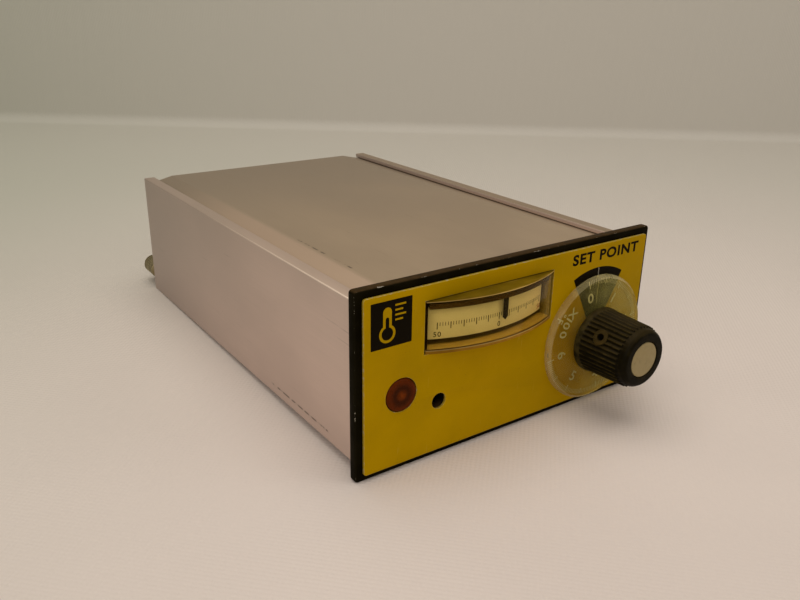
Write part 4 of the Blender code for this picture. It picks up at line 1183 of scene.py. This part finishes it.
# ---- inside ----
def finish_inner_nodes():
    """CAD nodes whose shapes stay, each with its own procedural finish."""
    looks = {
        "main_board": EPOXY, "front_board": EPOXY,
        "transformer_core": laminated("transformer_sheets", 1, 0.5),
        "relay_frame": laminated("relay_steel", 1, 3.0),
        "relay_armature": laminated("armature_steel", 1, 2.5),
        "meter_magnet": laminated("magnet_steel", 2, 2.0),
        "meter_core": laminated("meter_core_steel", 2, 1.5),
        "transformer_winding": wound_wire("transformer_wire", (0.5, 0.2, 0.08), 2, 0.7),
        "relay_coil": wound_wire("relay_wire", (0.45, 0.18, 0.07), 2, 0.4),
        "meter_coil": wound_wire("meter_wire", (0.5, 0.22, 0.09), 1, 0.3),
        "filter_capacitor": CAN_METAL, "pot_body": POT_METAL, "pot_nut": BRASS, "pot_shaft": ZINC,
        "knob_set_screw": ZINC, "lamp_holder": BLACK_PLASTIC, "neon_bulb": GLASS_BULB,
        "trimmer_body": BLACK_PLASTIC, "trimmer_screw": BRASS, "meter_housing": HOUSING,
    }
    looks.update({f"front_screw_{i}": ZINC for i in range(1, 5)})
    looks.update({f"board_standoff_{i}": BRASS for i in range(1, 5)})
    for node, look in looks.items():
        mesh = frame["nodes"][node].data
        mesh.materials.clear()
        mesh.materials.append(look)


# ---- stage, light and camera ----
CAMERA_PLACE = (-192.94, -197.29, 160.78)
CAMERA_TURN, CAMERA_TILT, CAMERA_ROLL, CAMERA_LENS = -35.152, 21.524, 0.832, 35.15
FLOOR_LIFT = math.degrees(math.atan((CASE_BOTTOM - BEZEL_LOW.z) / (CASE_BACK - BEZEL_HIGH.y)))


def stage_material(name, colour):
    """Pale matt sheet with a faint weave, with painted shade that darkens it far away and greener to the
    left.
    """
    look = Look(name, shaded(colour, 0.95), 0.75)
    threads = look.times(look.waves(look.axis(0), 2.4), look.waves(look.axis(1), 2.4))
    # painted shade of the light's falloff: darker far away, greener to the left
    far = look.blend(look.step(look.axis(0), -500, 400), (0.48, 0.5, 0.41), (0.62, 0.59, 0.53))
    look.cover(look.patch(160, 2), colour)
    look.cover(look.step(look.radius((0, -100, 0), 0, 1), 60, 640), far)
    look.relief(threads, 0.05)
    return look.material


def make_stage():
    """Pale floor and back wall, square to the view, tipped so that bezel and case both stand on it."""
    reach, near, wall, bend, height = 3500, -3500, 900, 12, 1500
    outline = [(near, 0.0), (0.0, 0.0), (wall, 0.0)]
    outline += [(wall + bend * math.sin(a), bend * (1 - math.cos(a)))
                for a in [math.radians(90 * i / 8) for i in range(1, 9)]]
    outline.append((wall + bend, height))
    bm = bmesh.new()
    heading, lift = math.radians(-CAMERA_TURN), math.radians(FLOOR_LIFT)
    rows = []
    for run, z in outline:
        row = []
        for across in (-reach, reach):
            x = CAMERA_PLACE[0] + run * math.sin(heading) + across * math.cos(heading)
            depth = CAMERA_PLACE[1] + run * math.cos(heading) - across * math.sin(heading) - BEZEL_HIGH.y
            row.append(bm.verts.new(at(x, BEZEL_HIGH.y + depth * math.cos(lift) - z * math.sin(lift),
                                       depth * math.sin(lift) + z * math.cos(lift))))
        rows.append(row)
    for first, second in zip(rows, rows[1:]):
        bm.faces.new((first[0], first[1], second[1], second[0]))
    mesh = new_mesh(bm)
    mesh.materials.append(stage_material("pale_sheet", (0.79, 0.705, 0.66)))
    mesh.shade_smooth()
    placed("stage_floor", mesh)


def soft_light(name, place, size, power, colour, target=(0, 90, 30)):
    lamp = bpy.data.lights.new(name, "AREA")
    lamp.shape = "RECTANGLE"
    lamp.size, lamp.size_y = size[0] * MM, size[1] * MM
    lamp.energy = power
    lamp.color = colour
    obj = placed(name, lamp)
    obj.location = at(*place)
    obj.rotation_euler = (at(*target) - at(*place)).to_track_quat("-Z", "Y").to_euler()


def light_stage():
    soft_light("overhead", (-60, 60, 1300), (1500, 1100), 9.5, (1.0, 0.93, 0.84))
    soft_light("front_left", (-700, -480, 560), (700, 600), 2.55, (1.0, 0.91, 0.82))
    soft_light("front_right", (900, -900, 600), (700, 600), 1.8, (1.0, 0.95, 0.88))
    world = bpy.data.worlds.new("studio")
    bpy.context.scene.world = world
    world.use_nodes = True
    background = world.node_tree.nodes["Background"]
    background.inputs["Color"].default_value = (1.0, 0.94, 0.87, 1)
    background.inputs["Strength"].default_value = 0.22
    settings = bpy.context.scene.view_settings
    settings.view_transform = "Standard"
    settings.look = "None"


def make_camera():
    camera = bpy.data.cameras.new("photo_view")
    camera.lens, camera.sensor_width = CAMERA_LENS, 36.0
    camera.clip_start, camera.clip_end = 0.01, 20
    camera.dof.use_dof = False
    turn, tilt, roll = (math.radians(a) for a in (CAMERA_TURN, 90 - CAMERA_TILT, CAMERA_ROLL))
    obj = placed("photo_view", camera)
    obj.matrix_world = (Matrix.Translation(at(*CAMERA_PLACE)) @ Matrix.Rotation(turn, 4, "Z")
                        @ Matrix.Rotation(tilt, 4, "X") @ Matrix.Rotation(roll, 4, "Z"))
    bpy.context.scene.camera = obj


make_camera()
make_bezel()
make_plate()
make_plate_print()
make_lamp()
make_dial()
make_knob()
make_window()
make_scale()
make_pointer()
make_side_panels()
make_covers()
make_rear_panel()
make_thumbscrews()
make_terminals()
finish_inner_nodes()
make_stage()
light_stage()
